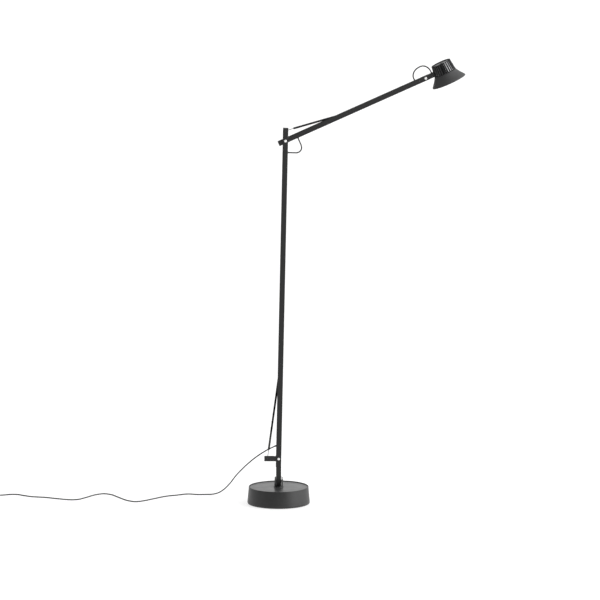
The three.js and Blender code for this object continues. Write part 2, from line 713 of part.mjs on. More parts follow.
function makeHead(arm) {
  const head = new THREE.Group();
  head.position.x = ARM_PIVOTS;
  arm.add(head);
  const shade = new THREE.Group();
  shade.position.x = SHADE_AXIS;
  head.add(shade);

  const half = ARM_HEIGHT / 2;
  const neckHalf = 3.5;
  const screwHeight = -4.4;
  const outline = [
    ...arc(0, 0, half, 90, 270, 8),
    [44, -half],
    [44, half],
  ];
  const coneCut = turned([
    [0, CROWN_TOP],
    [crownRadius(CROWN_TOP) + GAP, CROWN_TOP],
    [crownRadius(CROWN_BOTTOM) + GAP, CROWN_BOTTOM],
    [0, CROWN_BOTTOM],
  ], 60).translate(SHADE_AXIS, 0, 0);
  const neck = combine(prism(outline, -neckHalf, neckHalf).rotateX(Math.PI / 2), {
    cut: [
      coneCut,
      hole(HEAD_PIN_RADIUS + 0.2, 40, 0, 0),
      rod(2.55, -0.5, 20, 14).translate(NECK_HOLE, 0, 0),
      alongX(rod(2.1, 15, 60, 12), 0, screwHeight),
    ],
  });
  piece(head, "neck_bar", neck, "black_coat");
  const screw = [
    [0, 16],
    [1.8, 16],
    [1.8, 41.2],
    [3.3, 41.2],
    [3, 43.2],
    [0, 43.2],
  ];
  piece(head, "neck_screw", alongX(turned(screw, 12), 0, screwHeight), "zinc");
  const grom = turned([
    [CABLE_RADIUS + 0.15, half + 0.2],
    [3.3, half + 0.2],
    [3, half + 1],
    [CABLE_RADIUS + 0.15, half + 1],
  ], 14).translate(NECK_HOLE, 0, 0);
  piece(head, "neck_grommet", grom, "rubber");

  // The head cable loops from the arm's open top to the neck. Points are in the head's frame.
  const start = ARM_EXIT - ARM_PIVOTS;
  const route = [
    [start, 0, half + 1.6],
    [start - 0.6, 0, 18],
    [start + 1, 0, 26],
    [-35.5, 0, 34.5],
    [-26.5, 0, 42.3],
    [-12, 0, 47.3],
    [3, 0, 47.6],
    [14.5, 0, 42.5],
    [22.4, 0, 33],
    [26.2, 0, 22],
    [NECK_HOLE, 0, 12],
    [NECK_HOLE, 0, 1],
  ];
  piece(head, "head_cable", tube(route, CABLE_RADIUS, 2), "cable");

  const deck = 18;
  const ceiling = 14;
  const crown = combine(
    skin([0, 0, CROWN_BOTTOM], [
      finLoop(CROWN_BOTTOM_RADIUS, CROWN_BOTTOM),
      finLoop(CROWN_TOP_RADIUS, CROWN_TOP),
    ], [0, 0, CROWN_TOP]),
    {
      cut: [
        rod(RECESS_RADIUS, deck, CROWN_TOP + 1, 30),
        rod(RECESS_RADIUS, CROWN_BOTTOM - 1, ceiling, 30),
        alongX(rod(2.2, -60, -20, 12), 0, screwHeight),
      ],
    },
  );
  piece(shade, "crown", crown, "black_coat");

  const capTop = CROWN_TOP - 3;
  const cap = ring(BUTTON_RADIUS + GAP, RECESS_RADIUS - GAP, capTop - 2, capTop, 30);
  piece(shade, "crown_cap", cap, "top_plate");
  const button = [
    [0, 22.4],
    [3, 22.4],
    [3, capTop - 4],
    [BUTTON_RADIUS + 2, capTop - 4],
    [BUTTON_RADIUS + 2, capTop - 2 - GAP],
    [BUTTON_RADIUS, capTop - 2 - GAP],
    [BUTTON_RADIUS, capTop + 0.9],
    [BUTTON_RADIUS - 1, capTop + 1.3],
    [0, capTop + 1.3],
  ];
  piece(shade, "dimmer_button", turned(button, 20), "black_plastic");
  piece(shade, "control_board", rod(28, 19.2, 20.8, 20), "board");
  piece(shade, "led_board", rod(29, ceiling - 2, ceiling - GAP, 20), "white_board");
  const reflector = [
    [11, 11.6],
    [12.2, 11.6],
    [29.6, -10.4],
    [28.4, -10.4],
  ];
  piece(shade, "reflector", turned(reflector, 24), "reflector");

  const flangeTop = CROWN_BOTTOM - GAP;
  const outer = [
    [CROWN_BOTTOM_RADIUS, flangeTop],
    [47.6, -20],
    [55, -31],
    [61, -38.3],
    [BRIM_RADIUS - 0.9, -44],
    [BRIM_RADIUS, -46],
    [BRIM_RADIUS, BRIM_BOTTOM],
  ];
  const inside = [
    [BRIM_RADIUS - 1.6, BRIM_BOTTOM],
    [BRIM_RADIUS - 2.6, -44.6],
    [59.4, -38.3],
    [53.3, -31],
    [45.8, -20],
    [41.8, flangeTop - 1.7],
  ];
  const brim = [[34, flangeTop], ...outer, ...inside, [34, flangeTop - 1.7]];
  piece(shade, "brim", turned(brim, 30), "black_coat");
  piece(shade, "diffuser", rod(33.2, CROWN_BOTTOM - 3, CROWN_BOTTOM - GAP, 28), "opal");
  const windowRing = ring(29.5, 40, CROWN_BOTTOM - 5.4, CROWN_BOTTOM - 3 - GAP, 28);
  piece(shade, "diffuser_ring", windowRing, "black_plastic");
}

// ---------------------------------------------------------------- power cord
function makeCord() {
  // The centreline from the strain relief to the coil, chosen by hand. It leaves the mast's open side, drops
  // to the floor and wanders away from the base.
  const route = [
    [-15.9, -2.5, 218.7],
    [-38, -8, 209],
    [-62, -2, 193.7],
    [-88, 13, 172.6],
    [-114, 33, 147.1],
    [-140, 55, 118.1],
    [-163, 76, 89],
    [-186, 100, 54.5],
    [-210, 125, 26.2],
    [-232, 145, 10],
    [-253, 155, 3.6],
    [-274, 158, FLOOR_CORD],
    [-305, 156, FLOOR_CORD],
    [-345, 166, FLOOR_CORD],
    [-385, 145, FLOOR_CORD],
    [-425, 124, FLOOR_CORD],
    [-470, 78, FLOOR_CORD],
    [-510, 36, FLOOR_CORD],
    [-540, 20, FLOOR_CORD],
    [-570, 42, FLOOR_CORD],
    [-608, 108, FLOOR_CORD],
    [-635, 156, FLOOR_CORD],
    [-663, 171, FLOOR_CORD],
    [-693, 152, FLOOR_CORD],
    [-730, 97, FLOOR_CORD],
    [-758, 62, FLOOR_CORD],
    [-785, 56, FLOOR_CORD],
    [-830, 74, FLOOR_CORD],
    [-885, 102, FLOOR_CORD],
    [-930, 114, FLOOR_CORD],
    [-960, 133, FLOOR_CORD],
    [-990, 157, FLOOR_CORD],
    [-1015, 158, FLOOR_CORD],
    [-1043, 146, FLOOR_CORD],
    [-1066, 144, FLOOR_CORD],
    [-1085.5, 145, FLOOR_CORD],
  ];
  piece(lamp, "power_cord", tube(route, CORD_RADIUS, 2), "cable");

  const [cx, cy] = COIL_CENTRE;
  const inner = COIL_MIDDLE_RADIUS - COIL_BAND;
  const outer = COIL_MIDDLE_RADIUS + COIL_BAND;
  const coil = turned([
    [inner, 0.2],
    [outer, 0.2],
    [outer, 5],
    [outer - 2.5, COIL_HEIGHT],
    [inner + 2.5, COIL_HEIGHT],
    [inner, 5],
  ], 24).translate(cx, cy, 0);
  piece(lamp, "cord_coil", coil, "cable");

  makePlug();
}

function makePlug() {
  const [px, py] = PLUG_CENTRE;
  const body = prism(roundedRectangle(22, 34, 5), 0.2, 28.2).translate(px, py, 0);
  const boss = turned([
    [0, 0],
    [4.2, 0],
    [2.9, 13],
    [0, 13],
  ], 12).rotateX(-Math.PI / 2).translate(px, py + 33, 7.5);
  const pins = [-9.5, 9.5].map((x) =>
    rod(2, 0, 20, 12).rotateX(Math.PI / 2).translate(px + x, py - 33, 14.2),
  );
  piece(lamp, "plug", combine(body, { join: [closed(boss), ...pins] }), "black_plastic");
}

makeBase();
makeFoot();
const mastGroup = makeMast();
const armGroup = makeArm(mastGroup);
makeHead(armGroup);
makeCord();

export default lamp;
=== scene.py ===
# Looks for the adjustable arm floor lamp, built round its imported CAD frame. Metres, +Z up.
# Pieces are drawn in millimetres in local frames (foot, mast, arm, head, shade) and placed by matrices that
# come from the frame's joints, so every piece lies where its CAD node lies.
import json
from math import atan2, cos, hypot, pi, radians, sin, tan

import bmesh
import bpy
from mathutils import Matrix, Vector


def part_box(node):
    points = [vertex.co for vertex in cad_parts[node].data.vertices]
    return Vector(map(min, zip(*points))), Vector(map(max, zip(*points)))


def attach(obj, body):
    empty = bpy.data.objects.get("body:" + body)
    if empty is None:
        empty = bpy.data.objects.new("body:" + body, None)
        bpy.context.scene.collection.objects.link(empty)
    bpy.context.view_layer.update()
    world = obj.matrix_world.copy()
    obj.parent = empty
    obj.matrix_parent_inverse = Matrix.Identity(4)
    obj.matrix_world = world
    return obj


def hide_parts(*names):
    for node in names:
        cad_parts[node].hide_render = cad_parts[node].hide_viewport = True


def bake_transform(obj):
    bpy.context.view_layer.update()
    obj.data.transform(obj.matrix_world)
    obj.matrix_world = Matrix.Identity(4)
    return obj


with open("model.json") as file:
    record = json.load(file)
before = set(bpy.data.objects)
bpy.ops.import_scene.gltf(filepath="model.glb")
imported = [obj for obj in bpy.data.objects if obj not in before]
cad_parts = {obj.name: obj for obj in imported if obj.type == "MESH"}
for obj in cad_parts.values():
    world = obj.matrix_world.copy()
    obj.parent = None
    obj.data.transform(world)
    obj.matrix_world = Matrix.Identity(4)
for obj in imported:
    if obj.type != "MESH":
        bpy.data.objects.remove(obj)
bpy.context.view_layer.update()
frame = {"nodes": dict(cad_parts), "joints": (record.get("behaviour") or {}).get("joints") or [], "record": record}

MM = 0.001
JOINTS = {joint["name"]: joint for joint in frame["joints"]}

# ---- local frames


def axes(origin, x_axis, z_axis):
    """The matrix of a frame with that origin, in metres, and those X and Z directions."""
    x_axis = Vector(x_axis).normalized()
    z_axis = Vector(z_axis).normalized()
    y_axis = z_axis.cross(x_axis)
    rotation = Matrix((x_axis, y_axis, z_axis)).transposed().to_4x4()
    return Matrix.Translation(origin) @ rotation


def shift(x=0.0, y=0.0, z=0.0):
    """A move in millimetres, inside a local frame."""
    return Matrix.Translation((x * MM, y * MM, z * MM))


LOWER_PIVOT = Vector(JOINTS["mast_tilt"]["pos_m"])
UPPER_PIVOT = Vector(JOINTS["arm_tilt"]["pos_m"])
HEAD_PIVOT = Vector(JOINTS["head_tilt"]["pos_m"])
MAST_AXIS = (UPPER_PIVOT - LOWER_PIVOT).normalized()
ARM_AXIS = (HEAD_PIVOT - UPPER_PIVOT).normalized()
ARM_UP = ARM_AXIS.cross(Vector((0, 1, 0)))
MAST_PIVOTS = (UPPER_PIVOT - LOWER_PIVOT).length / MM
ARM_PIVOTS = (HEAD_PIVOT - UPPER_PIVOT).length / MM
SHADE_AXIS = 73.5

BASE = Matrix.Identity(4)
LEVER = Matrix.Translation(LOWER_PIVOT)
MAST = axes(LOWER_PIVOT, Vector((0, 1, 0)).cross(MAST_AXIS), MAST_AXIS)
ARM = axes(UPPER_PIVOT, ARM_AXIS, ARM_UP)
HEAD = axes(HEAD_PIVOT, ARM_AXIS, ARM_UP)
SHADE = HEAD @ shift(x=SHADE_AXIS)
ALONG_Y = Matrix.Rotation(-pi / 2, 4, "X")  # turns a piece that was drawn along Z to lie along Y
ALONG_X = Matrix.Rotation(pi / 2, 4, "Y")

# ---- driving dimensions, in millimetres; CABLE, RECESS, BUTTON and BRIM are radii
BASE_HEIGHT = 65.5
BASE_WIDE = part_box("base_housing")[1].x / MM
BASE_NARROW = BASE_WIDE - 5
RIM_WIDTH = 3.5
DECK_TOP = 58.7
DECK_BOTTOM = 54.7
PLATE_TOP = 62
PAD_RADIUS = 108
PAD_HEIGHT = 3.2
BUSH_TOP = 63.8
HOLDER_BOTTOM = 64.1
HOLDER_TOP = 101.5
SLOT_FLOOR = 69.9
HOLDER_SCREW_HEIGHT = 89.5
POST_SIDE = 9.6

MAST_HALF = 10.2
MAST_WALL = 2
MAST_INNER = MAST_HALF - MAST_WALL
MAST_FOOT = 30
MAST_STUB = 47.5
LOWER_SLOT = 16
UPPER_SLOT = 38
ARM_TOP = 9.5
ARM_SIDE = 6
ARM_WALL = 1.5
ARM_INNER = ARM_SIDE - ARM_WALL
ARM_FLOOR = -ARM_TOP + 1.7
ARM_REAR = 26.5
ARM_FRONT = 13
ARM_SLOT = 11
LEVER_LENGTH = 54
LEVER_FLOOR = 2

PIN_RADIUS = 4
HEAD_PIN_RADIUS = 3
HOOK_PIN = 1.5
HOOK_OFFSET = 42
UPPER_HOOK = 37.5
LOWER_ANCHOR = 365
UPPER_ANCHOR = 252
CABLE = 2.4
JOINT_HOLE = 45
ARM_HOLE = 47
ARM_EXIT = 533.5
NECK_HOLE = 27
SPACER = ARM_PIVOTS - 26

CROWN_TOP = 30
CROWN_BOTTOM = -11
BRIM_BOTTOM = -48.5
BRIM = 66.4
CROWN_NARROW = 37.75
CROWN_WIDE = 43
RECESS = 33.5
FIN_COUNT = 30
FIN_DEPTH = 2.6
FIN_PHASE = 3
LAND_HALF_ANGLE = 7
CAP_TOP = CROWN_TOP - 3
BUTTON = 7

CORD_RADIUS = 2.25
FLOOR_CORD = 2.3
COIL_CENTRE = (-1104, 114.4)
COIL_MIDDLE = 24
PLUG_CENTRE = (-1132.4, 46.4)

# ---- camera
CAMERA_TARGET = Vector((0.0805, 0, 0.7775))
CAMERA_DISTANCE = 30
CAMERA_ELEVATION = radians(10)


def placed(name, data):
    """A new object of that data, linked into the scene."""
    made = bpy.data.objects.new(name, data)
    bpy.context.scene.collection.objects.link(made)
    return made


def make_camera():
    data = bpy.data.cameras.new("camera")
    data.lens = 480
    data.sensor_width = 36
    data.clip_end = 200
    camera = placed("camera", data)
    back = Vector((0, -cos(CAMERA_ELEVATION), sin(CAMERA_ELEVATION)))
    camera.location = CAMERA_TARGET + back * CAMERA_DISTANCE
    camera.rotation_euler = (-back).to_track_quat("-Z", "Y").to_euler()
    bpy.context.scene.camera = camera


make_camera()

# ---- materials


class Shader:
    """A node tree with one Principled shader, and short calls for the procedural detail that feeds it."""

    def __init__(self, name, colour, roughness, metallic=0.0, **sockets):
        self.material = bpy.data.materials.new(name)
        self.material.use_nodes = True
        self.tree = self.material.node_tree
        self.shader = self.tree.nodes["Principled BSDF"]
        self.shader.inputs["Base Color"].default_value = (*colour, 1)
        self.shader.inputs["Roughness"].default_value = roughness
        self.shader.inputs["Metallic"].default_value = metallic
        for socket, value in sockets.items():
            self.shader.inputs[socket.replace("_", " ")].default_value = value
        self.place = self.node("ShaderNodeTexCoord").outputs["Object"]
        self.relief = None

    def node(self, kind, **settings):
        made = self.tree.nodes.new(kind)
        for name, value in settings.items():
            setattr(made, name, value)
        return made

    def link(self, output, node, socket):
        self.tree.links.new(output, node.inputs[socket])

    def stretched(self, scale):
        mapping = self.node("ShaderNodeMapping")
        mapping.inputs["Scale"].default_value = scale
        self.link(self.place, mapping, "Vector")
        return mapping.outputs["Vector"]

    def noise(self, size, detail=3.0, rough=0.5, stretch=None):
        """Noise from 0 to 1 whose lumps are about size metres across."""
        made = self.node("ShaderNodeTexNoise")
        made.inputs["Scale"].default_value = 1 / size
        made.inputs["Detail"].default_value = detail
        made.inputs["Roughness"].default_value = rough
        self.link(self.stretched(stretch) if stretch else self.place, made, "Vector")
        return made.outputs["Fac"]

    def cells(self, size, feature="F1"):
        made = self.node("ShaderNodeTexVoronoi", feature=feature)
        made.inputs["Scale"].default_value = 1 / size
        self.link(self.place, made, "Vector")
        return made.outputs["Distance"]

    def attribute(self, name):
        return self.node("ShaderNodeAttribute", attribute_name=name).outputs["Fac"]

    def spread(self, value, low, high, start=0.3, end=0.7):
        """Maps a value from start..end to low..high."""
        made = self.node("ShaderNodeMapRange")
        made.inputs["From Min"].default_value = start
        made.inputs["From Max"].default_value = end
        made.inputs["To Min"].default_value = low
        made.inputs["To Max"].default_value = high
        self.link(value, made, "Value")
        return made.outputs["Result"]

    def mixed(self, factor, first, second):
        """A colour between two others; each is a colour or another node's output."""
        made = self.node("ShaderNodeMix", data_type="RGBA")
        self.link(factor, made, 0)
        for socket, colour in ((6, first), (7, second)):
            if isinstance(colour, tuple):
                made.inputs[socket].default_value = (*colour, 1)
            else:
                self.link(colour, made, socket)
        return made.outputs[2]

    def clouded(self, value, colour, low, high=1.0):
        """A colour that a value from 0 to 1 makes darker and lighter, by two factors."""
        return self.mixed(self.spread(value, 0, 1), tinted(colour, low), tinted(colour, high))

    def colour(self, output):
        self.link(output, self.shader, "Base Color")

    def roughness(self, output):
        self.link(output, self.shader, "Roughness")

    def bump(self, height, depth, strength=1.0):
        """Adds a layer of relief, depth metres high."""
        made = self.node("ShaderNodeBump")
        made.inputs["Distance"].default_value = depth
        made.inputs["Strength"].default_value = strength
        self.link(height, made, "Height")
        if self.relief:
            self.link(self.relief, made, "Normal")
        self.relief = made.outputs["Normal"]
        self.link(self.relief, self.shader, "Normal")


def tinted(colour, factor):
    return tuple(min(1.0, channel * factor) for channel in colour)


def powder_coat(name, colour, roughness, level=0.5):
    """Fine satin powder coat: orange peel, a fine grain, and slow changes of sheen from handling."""
    made = Shader(name, colour, roughness, Specular_IOR_Level=level)
    peel = made.noise(0.0011, 2)
    grain = made.noise(0.00035, 2)
    slow = made.noise(0.06, 4, 0.6)
    shade = made.clouded(slow, colour, 0.88, 1.14)
    fleck = made.spread(grain, 0, 0.22, 0.52, 0.72)
    made.colour(made.mixed(fleck, shade, tinted(colour, 1.5)))
    made.roughness(made.spread(slow, roughness - 0.05, roughness + 0.06))
    made.bump(peel, 0.00004, 0.5)
    made.bump(grain, 0.000012, 0.5)
    return made.material


def textured(name, colour, roughness, cloud, tint, sheen, relief, depth, strength=0.6, metallic=0.0,
    sockets=None):
    """A surface with clouds in its colour and roughness, and a fine relief.

    cloud and relief are what noise() needs; a plain number for relief is a size for cells().
    tint and sheen are the ends of what the clouds change."""
    made = Shader(name, colour, roughness, metallic, **(sockets or {}))
    slow = made.noise(*cloud)
    fine = made.noise(*relief) if isinstance(relief, tuple) else made.cells(relief)
    if tint:
        made.colour(made.clouded(slow, colour, *tint))
    if sheen:
        made.roughness(made.spread(slow, *sheen))
    made.bump(fine, depth, strength)
    return made.material


def moulded(name, colour, roughness, grain=0.0006, depth=0.00003):
    """Moulded plastic with a fine spark-eroded texture."""
    sheen = (roughness - 0.04, roughness + 0.05)
    return textured(name, colour, roughness, (0.02, 3), (0.85, 1.15), sheen, grain, depth)


def finned_coat(name, coat, turned):
    """The crown's black coat; the outer faces of its fins are turned smooth, where the mesh's attribute land
    is 1."""
    made = Shader(name, coat, 0.6, Specular_IOR_Level=0.15)
    marks = made.noise(0.0012, 3, 0.6, (1, 1, 5))
    slow = made.noise(0.03, 4, 0.6)
    matt = made.clouded(slow, coat, 0.8, 1.25)
    smooth = made.clouded(marks, turned, 0.85, 1.15)
    land = made.attribute("land")
    made.colour(made.mixed(land, matt, smooth))
    made.link(land, made.shader, "Metallic")
    made.roughness(made.spread(land, 0.6, 0.22, 0, 1))
    made.bump(marks, 0.00001, 0.4)
    return made.material


def rubbery(name, colour, roughness, grain=0.0012):
    made = Shader(name, colour, roughness, Sheen_Weight=0.08, Sheen_Roughness=0.5)
    lumps = made.noise(grain, 4)
    dust = made.noise(0.012, 5, 0.65)
    made.colour(made.mixed(made.spread(dust, 0, 0.5, 0.5, 0.75), colour, tinted(colour, 1.7)))
    made.roughness(made.spread(lumps, roughness - 0.07, roughness + 0.05))
    made.bump(lumps, 0.00004, 0.6)
    return made.material


def bright_metal(name, colour, roughness, streak=(1, 1, 1), patina=0.9, metallic=1.0):
    """Plated or polished metal: hairline marks along one direction and faint clouding."""
    made = Shader(name, colour, roughness, metallic)
    hair = made.noise(0.0009, 3, 0.6, streak)
    cloud = made.noise(0.006, 3)
    made.colour(made.clouded(cloud, colour, patina))
    made.roughness(made.spread(hair, roughness * 0.75, roughness * 1.35))
    made.bump(hair, 0.00001, 0.5)
    return made.material


def cast_iron(name, colour):
    made = Shader(name, colour, 0.8, 0.6)
    grit = made.noise(0.0018, 5, 0.65)
    rust = made.noise(0.03, 4)
    made.colour(made.mixed(made.spread(rust, 0, 0.6, 0.5, 0.8), colour, (0.12, 0.06, 0.035)))
    made.roughness(made.spread(grit, 0.7, 0.92))
    made.bump(grit, 0.0003, 0.7)
    return made.material


def spring_wire(name, dark, bright):
    """Blackened wire, lighter in colour at its hooks and first turns; the mesh's attribute bright says where."""
    made = Shader(name, dark, 0.45, 0.0, Specular_IOR_Level=0.35)
    mark = made.noise(0.0015, 3)
    soot = made.clouded(mark, dark, 0.7, 1.4)
    # the hooks and first turns are drawn in this lighter colour
    lighter_turns = made.clouded(mark, bright, 0.8)
    made.colour(made.mixed(made.attribute("bright"), soot, lighter_turns))
    made.roughness(made.spread(mark, 0.3, 0.5))
    made.bump(mark, 0.00002, 0.5)
    return made.material


def circuit_board(name, mask, copper):
    made = Shader(name, mask, 0.35)
    tracks = made.cells(0.004, "DISTANCE_TO_EDGE")
    on_track = made.spread(tracks, 1, 0, 0.02, 0.06)
    made.colour(made.mixed(on_track, mask, copper))
    made.bump(on_track, 0.00003, 0.5)
    return made.material


ZINC = (0.5, 0.5, 0.49)
LOOKS = {
    "base_coat": (powder_coat, (0.0155, 0.0157, 0.016), 0.44),
    # painted light: the top plate's coat is lighter than the housing's, standing in for the overhead light on its
    # upward face
    "top_plate": (powder_coat, (0.03, 0.0305, 0.031), 0.34, 0.58),
    "black_coat": (powder_coat, (0.009, 0.0092, 0.0095), 0.34, 0.45),
    "black_tube": (powder_coat, (0.0085, 0.0087, 0.009), 0.42, 0.42),
    "shade_coat": (powder_coat, (0.032, 0.0323, 0.0326), 0.62, 0.25),
    # painted light: the crown cap's coat is lighter than the crown's black, standing in for the light on its
    # upward face
    "cap_coat": (powder_coat, (0.024, 0.0245, 0.025), 0.36, 0.55),
    "ballast_iron": (cast_iron, (0.06, 0.058, 0.055)),
    "zinc_steel": (bright_metal, ZINC, 0.34, (1, 6, 1), 0.8),
    "nickel": (bright_metal, (0.95, 0.95, 0.94), 0.42, (1, 1, 1), 0.9, 0.5),
    "rubber": (rubbery, (0.014, 0.014, 0.014), 0.75),
    "grey_nylon": (moulded, (0.07, 0.07, 0.072), 0.5),
    "black_plastic": (moulded, (0.014, 0.014, 0.014), 0.5),
    "cable_jacket": (textured, (0.007, 0.007, 0.0074), 0.5, (0.004, 4, 0.6), (0.85, 1.2),
        (0.42, 0.56), (0.0007, 2), 0.00002, 0.4, 0.0, {"Specular IOR Level": 0.3}),
    "spring_steel": (spring_wire, (0.004, 0.004, 0.0044), (0.13, 0.129, 0.126)),
    "black_screw": (bright_metal, (0.09, 0.09, 0.09), 0.4),
    "green_board": (circuit_board, (0.015, 0.08, 0.03), (0.03, 0.14, 0.05)),
    "white_board": (circuit_board, (0.8, 0.8, 0.77), (0.7, 0.7, 0.66)),
    "bright_reflector": (textured, (0.85, 0.85, 0.85), 0.16, (0.01, 3), None,
        (0.12, 0.22), 0.0022, 0.00015, 0.6, 1.0),
    "opal_plastic": (textured, (0.85, 0.84, 0.8), 0.38, (0.02, 3), (0.96, 1.0), (0.33, 0.44),
        0.0016, 0.00005, 0.5, 0.0,
        {"Subsurface Weight": 0.3, "Subsurface Scale": 0.002}),
    "plug_plastic": (moulded, (0.015, 0.015, 0.015), 0.55, 0.0009, 0.00005),
}
MATERIALS = {name: make(name, *settings) for name, (make, *settings) in LOOKS.items()}
FINNED_COAT = finned_coat("finned_coat", (0.008, 0.0082, 0.0085), (0.05, 0.05, 0.051))
STRAP = textured("strap", (0.02, 0.02, 0.021), 0.9, (0.0016, 4), (0.6, 1.6), None, 0.0005, 0.0002, 0.8,
    0.0, {"Sheen Weight": 0.35, "Sheen Roughness": 0.4})

SLOTS = {subpart["node"]: subpart["material_slot"] for subpart in frame["record"]["subparts"]}
for node, slot in SLOTS.items():
    materials = frame["nodes"][node].data.materials
    materials.clear()
    materials.append(MATERIALS[slot])

BODIES = {node: body for body, nodes in frame["record"]["behaviour"]["bodies"].items() for node in nodes}

# ---- mesh tools
SMOOTH_ANGLE = radians(38)


def piece(name, verts, faces, place=BASE):
    """A mesh object from points in millimetres in a local frame."""
    mesh = bpy.data.meshes.new(name)
    mesh.from_pydata([place @ (Vector(v) * MM) for v in verts], [], faces)
    made = placed(name, mesh)
    tidy(made)
    return made


def tidy(made):
    """Merges doubles, turns the faces out and sets smooth shading with sharp edges by angle."""
    bm = bmesh.new()
    bm.from_mesh(made.data)
    bmesh.ops.remove_doubles(bm, verts=bm.verts, dist=1e-6)
    bmesh.ops.recalc_face_normals(bm, faces=bm.faces)
    bm.to_mesh(made.data)
    bm.free()
    shade(made)


def shade(made):
    made.data.polygons.foreach_set("use_smooth", [True] * len(made.data.polygons))
    made.data.set_sharp_from_angle(angle=SMOOTH_ANGLE)


def applied(made):
    """Replaces a piece's mesh by what its modifiers make of it."""
    graph = bpy.context.evaluated_depsgraph_get()
    mesh = bpy.data.meshes.new_from_object(made.evaluated_get(graph))
    old = made.data
    made.modifiers.clear()
    made.data = mesh
    bpy.data.meshes.remove(old)
    return made


def cut(made, *cutters):
    """Cuts closed pieces out of another, and removes them."""
    for cutter in cutters:
        modifier = made.modifiers.new("cut", "BOOLEAN")
        modifier.operation = "DIFFERENCE"
        modifier.solver = "EXACT"
        modifier.object = cutter
    applied(made)
    for cutter in cutters:
        bpy.data.objects.remove(cutter)
    return made


def bevelled(made, width, segments=3):
    """Rounds the sharp edges, width in millimetres, and keeps the flat faces flat in shading."""
    modifier = made.modifiers.new("bevel", "BEVEL")
    modifier.width = width * MM
    modifier.segments = segments
    modifier.limit_method = "ANGLE"
    modifier.angle_limit = radians(35)
    modifier.miter_outer = "MITER_ARC"
    modifier.use_clamp_overlap = True
    applied(made)
    shade(made)
    weighted = made.modifiers.new("normals", "WEIGHTED_NORMAL")
    weighted.keep_sharp = True
    return made


def dressed(made, slot):
    """Gives a piece its material and its slot."""
    made.data.materials.clear()
    made.data.materials.append(MATERIALS[slot])
    return made


def finish(made, node):
    """Dresses a piece, and lets it ride on its node's body and stand for the node."""
    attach(dressed(made, SLOTS[node]), BODIES[node])
    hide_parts(node)
    return made


def fillet(points, closed, steps=4):
    """Rounds the corners of a 2-D line. A point is (a, b) or (a, b, radius)."""
    out = []
    count = len(points)
    for i, point in enumerate(points):
        here = Vector(point[:2])
        radius = point[2] if len(point) > 2 else 0
        if not radius or (not closed and i in (0, count - 1)):
            out.append(here)
            continue
        before = Vector(points[i - 1][:2]) - here
        after = Vector(points[(i + 1) % count][:2]) - here
        turn = pi - before.angle(after)
        reach = min(radius * tan(turn / 2), 0.48 * before.length, 0.48 * after.length)
        start = here + before.normalized() * reach
        end = here + after.normalized() * reach
        for k in range(steps + 1):
            t = k / steps
            out.append(start * (1 - t) ** 2 + here * 2 * t * (1 - t) + end * t**2)
    return out


def lathe(name, profile, place=BASE, segments=96, steps=4):
    """A turned piece on the local Z axis. The profile is a list of (radius, z) or (radius, z, corner)."""
    closed = profile[0][0] > 0 and profile[-1][0] > 0
    line = fillet(profile, closed, steps)
    verts, rings = [], []
    for r, z in line:
        if r < 1e-6:
            rings.append([len(verts)] * segments)
            verts.append((0, 0, z))
            continue
        rings.append(list(range(len(verts), len(verts) + segments)))
        for i in range(segments):
            angle = 2 * pi * i / segments
            verts.append((r * cos(angle), r * sin(angle), z))
    faces = []
    pairs = list(zip(rings, rings[1:] + rings[:1]))
    for lower, upper in pairs if closed else pairs[:-1]:
        for i in range(segments):
            j = (i + 1) % segments
            corners = [lower[i], lower[j], upper[j], upper[i]]
            faces.append(list(dict.fromkeys(corners)))
    return piece(name, verts, [face for face in faces if len(face) > 2], place)


def prism(name, outline, low, high, axis="Z", place=BASE, steps=6):
    """An outline pulled from low to high along one local axis. Its plane is XY, XZ for Y, or YZ for X."""
    line = fillet(outline, True, steps)
    to_point = {
        "Z": lambda a, b, d: (a, b, d),
        "Y": lambda a, b, d: (a, d, b),
        "X": lambda a, b, d: (d, a, b),
    }[axis]
    count = len(line)
    verts = [to_point(a, b, d) for d in (low, high) for a, b in line]
    faces = [list(range(count))[::-1], list(range(count, 2 * count))]
    faces += [[i, (i + 1) % count, count + (i + 1) % count, count + i] for i in range(count)]
    return piece(name, verts, faces, place)


def block(name, x, y, z, place=BASE):
    """A plain box for cutting, from pairs of low and high."""
    outline = [(x[0], y[0]), (x[1], y[0]), (x[1], y[1]), (x[0], y[1])]
    return prism(name, outline, z[0], z[1], "Z", place)


def drill(name, radius, low, high, place, segments=48):
    return lathe(name, [(0, low), (radius, low), (radius, high), (0, high)], place, segments)


def curve_through(points, per_point):
    """A centripetal Catmull-Rom curve through given points, as the CAD model's routes are drawn."""
    given = [Vector(p) for p in points]
    given = [2 * given[0] - given[1], *given, 2 * given[-1] - given[-2]]
    line = []
    for a, b, c, d in zip(given, given[1:], given[2:], given[3:]):
        before = (b - a).length ** 0.5
        here = (c - b).length ** 0.5
        after = (d - c).length ** 0.5
        leave = ((b - a) / before - (c - a) / (before + here) + (c - b) / here) * here
        arrive = ((c - b) / here - (d - b) / (here + after) + (d - c) / after) * here
        for k in range(per_point):
            t = k / per_point
            line.append(
                b + leave * t
                + (3 * (c - b) - 2 * leave - arrive) * t**2
                + (2 * (b - c) + leave + arrive) * t**3
            )
    line.append(given[-2])
    return line


def evenly(line, step):
    """The same line with points a step apart, in the line's own unit."""
    out = [line[0]]
    carried = 0.0
    for a, b in zip(line, line[1:]):
        length = (b - a).length
        while carried + length >= step:
            part = step - carried
            a = a.lerp(b, part / length)
            length = (b - a).length
            carried = 0.0
            out.append(a)
        carried += length
    if (out[-1] - line[-1]).length < step / 2:
        out[-1] = line[-1]
    else:
        out.append(line[-1])
    return out


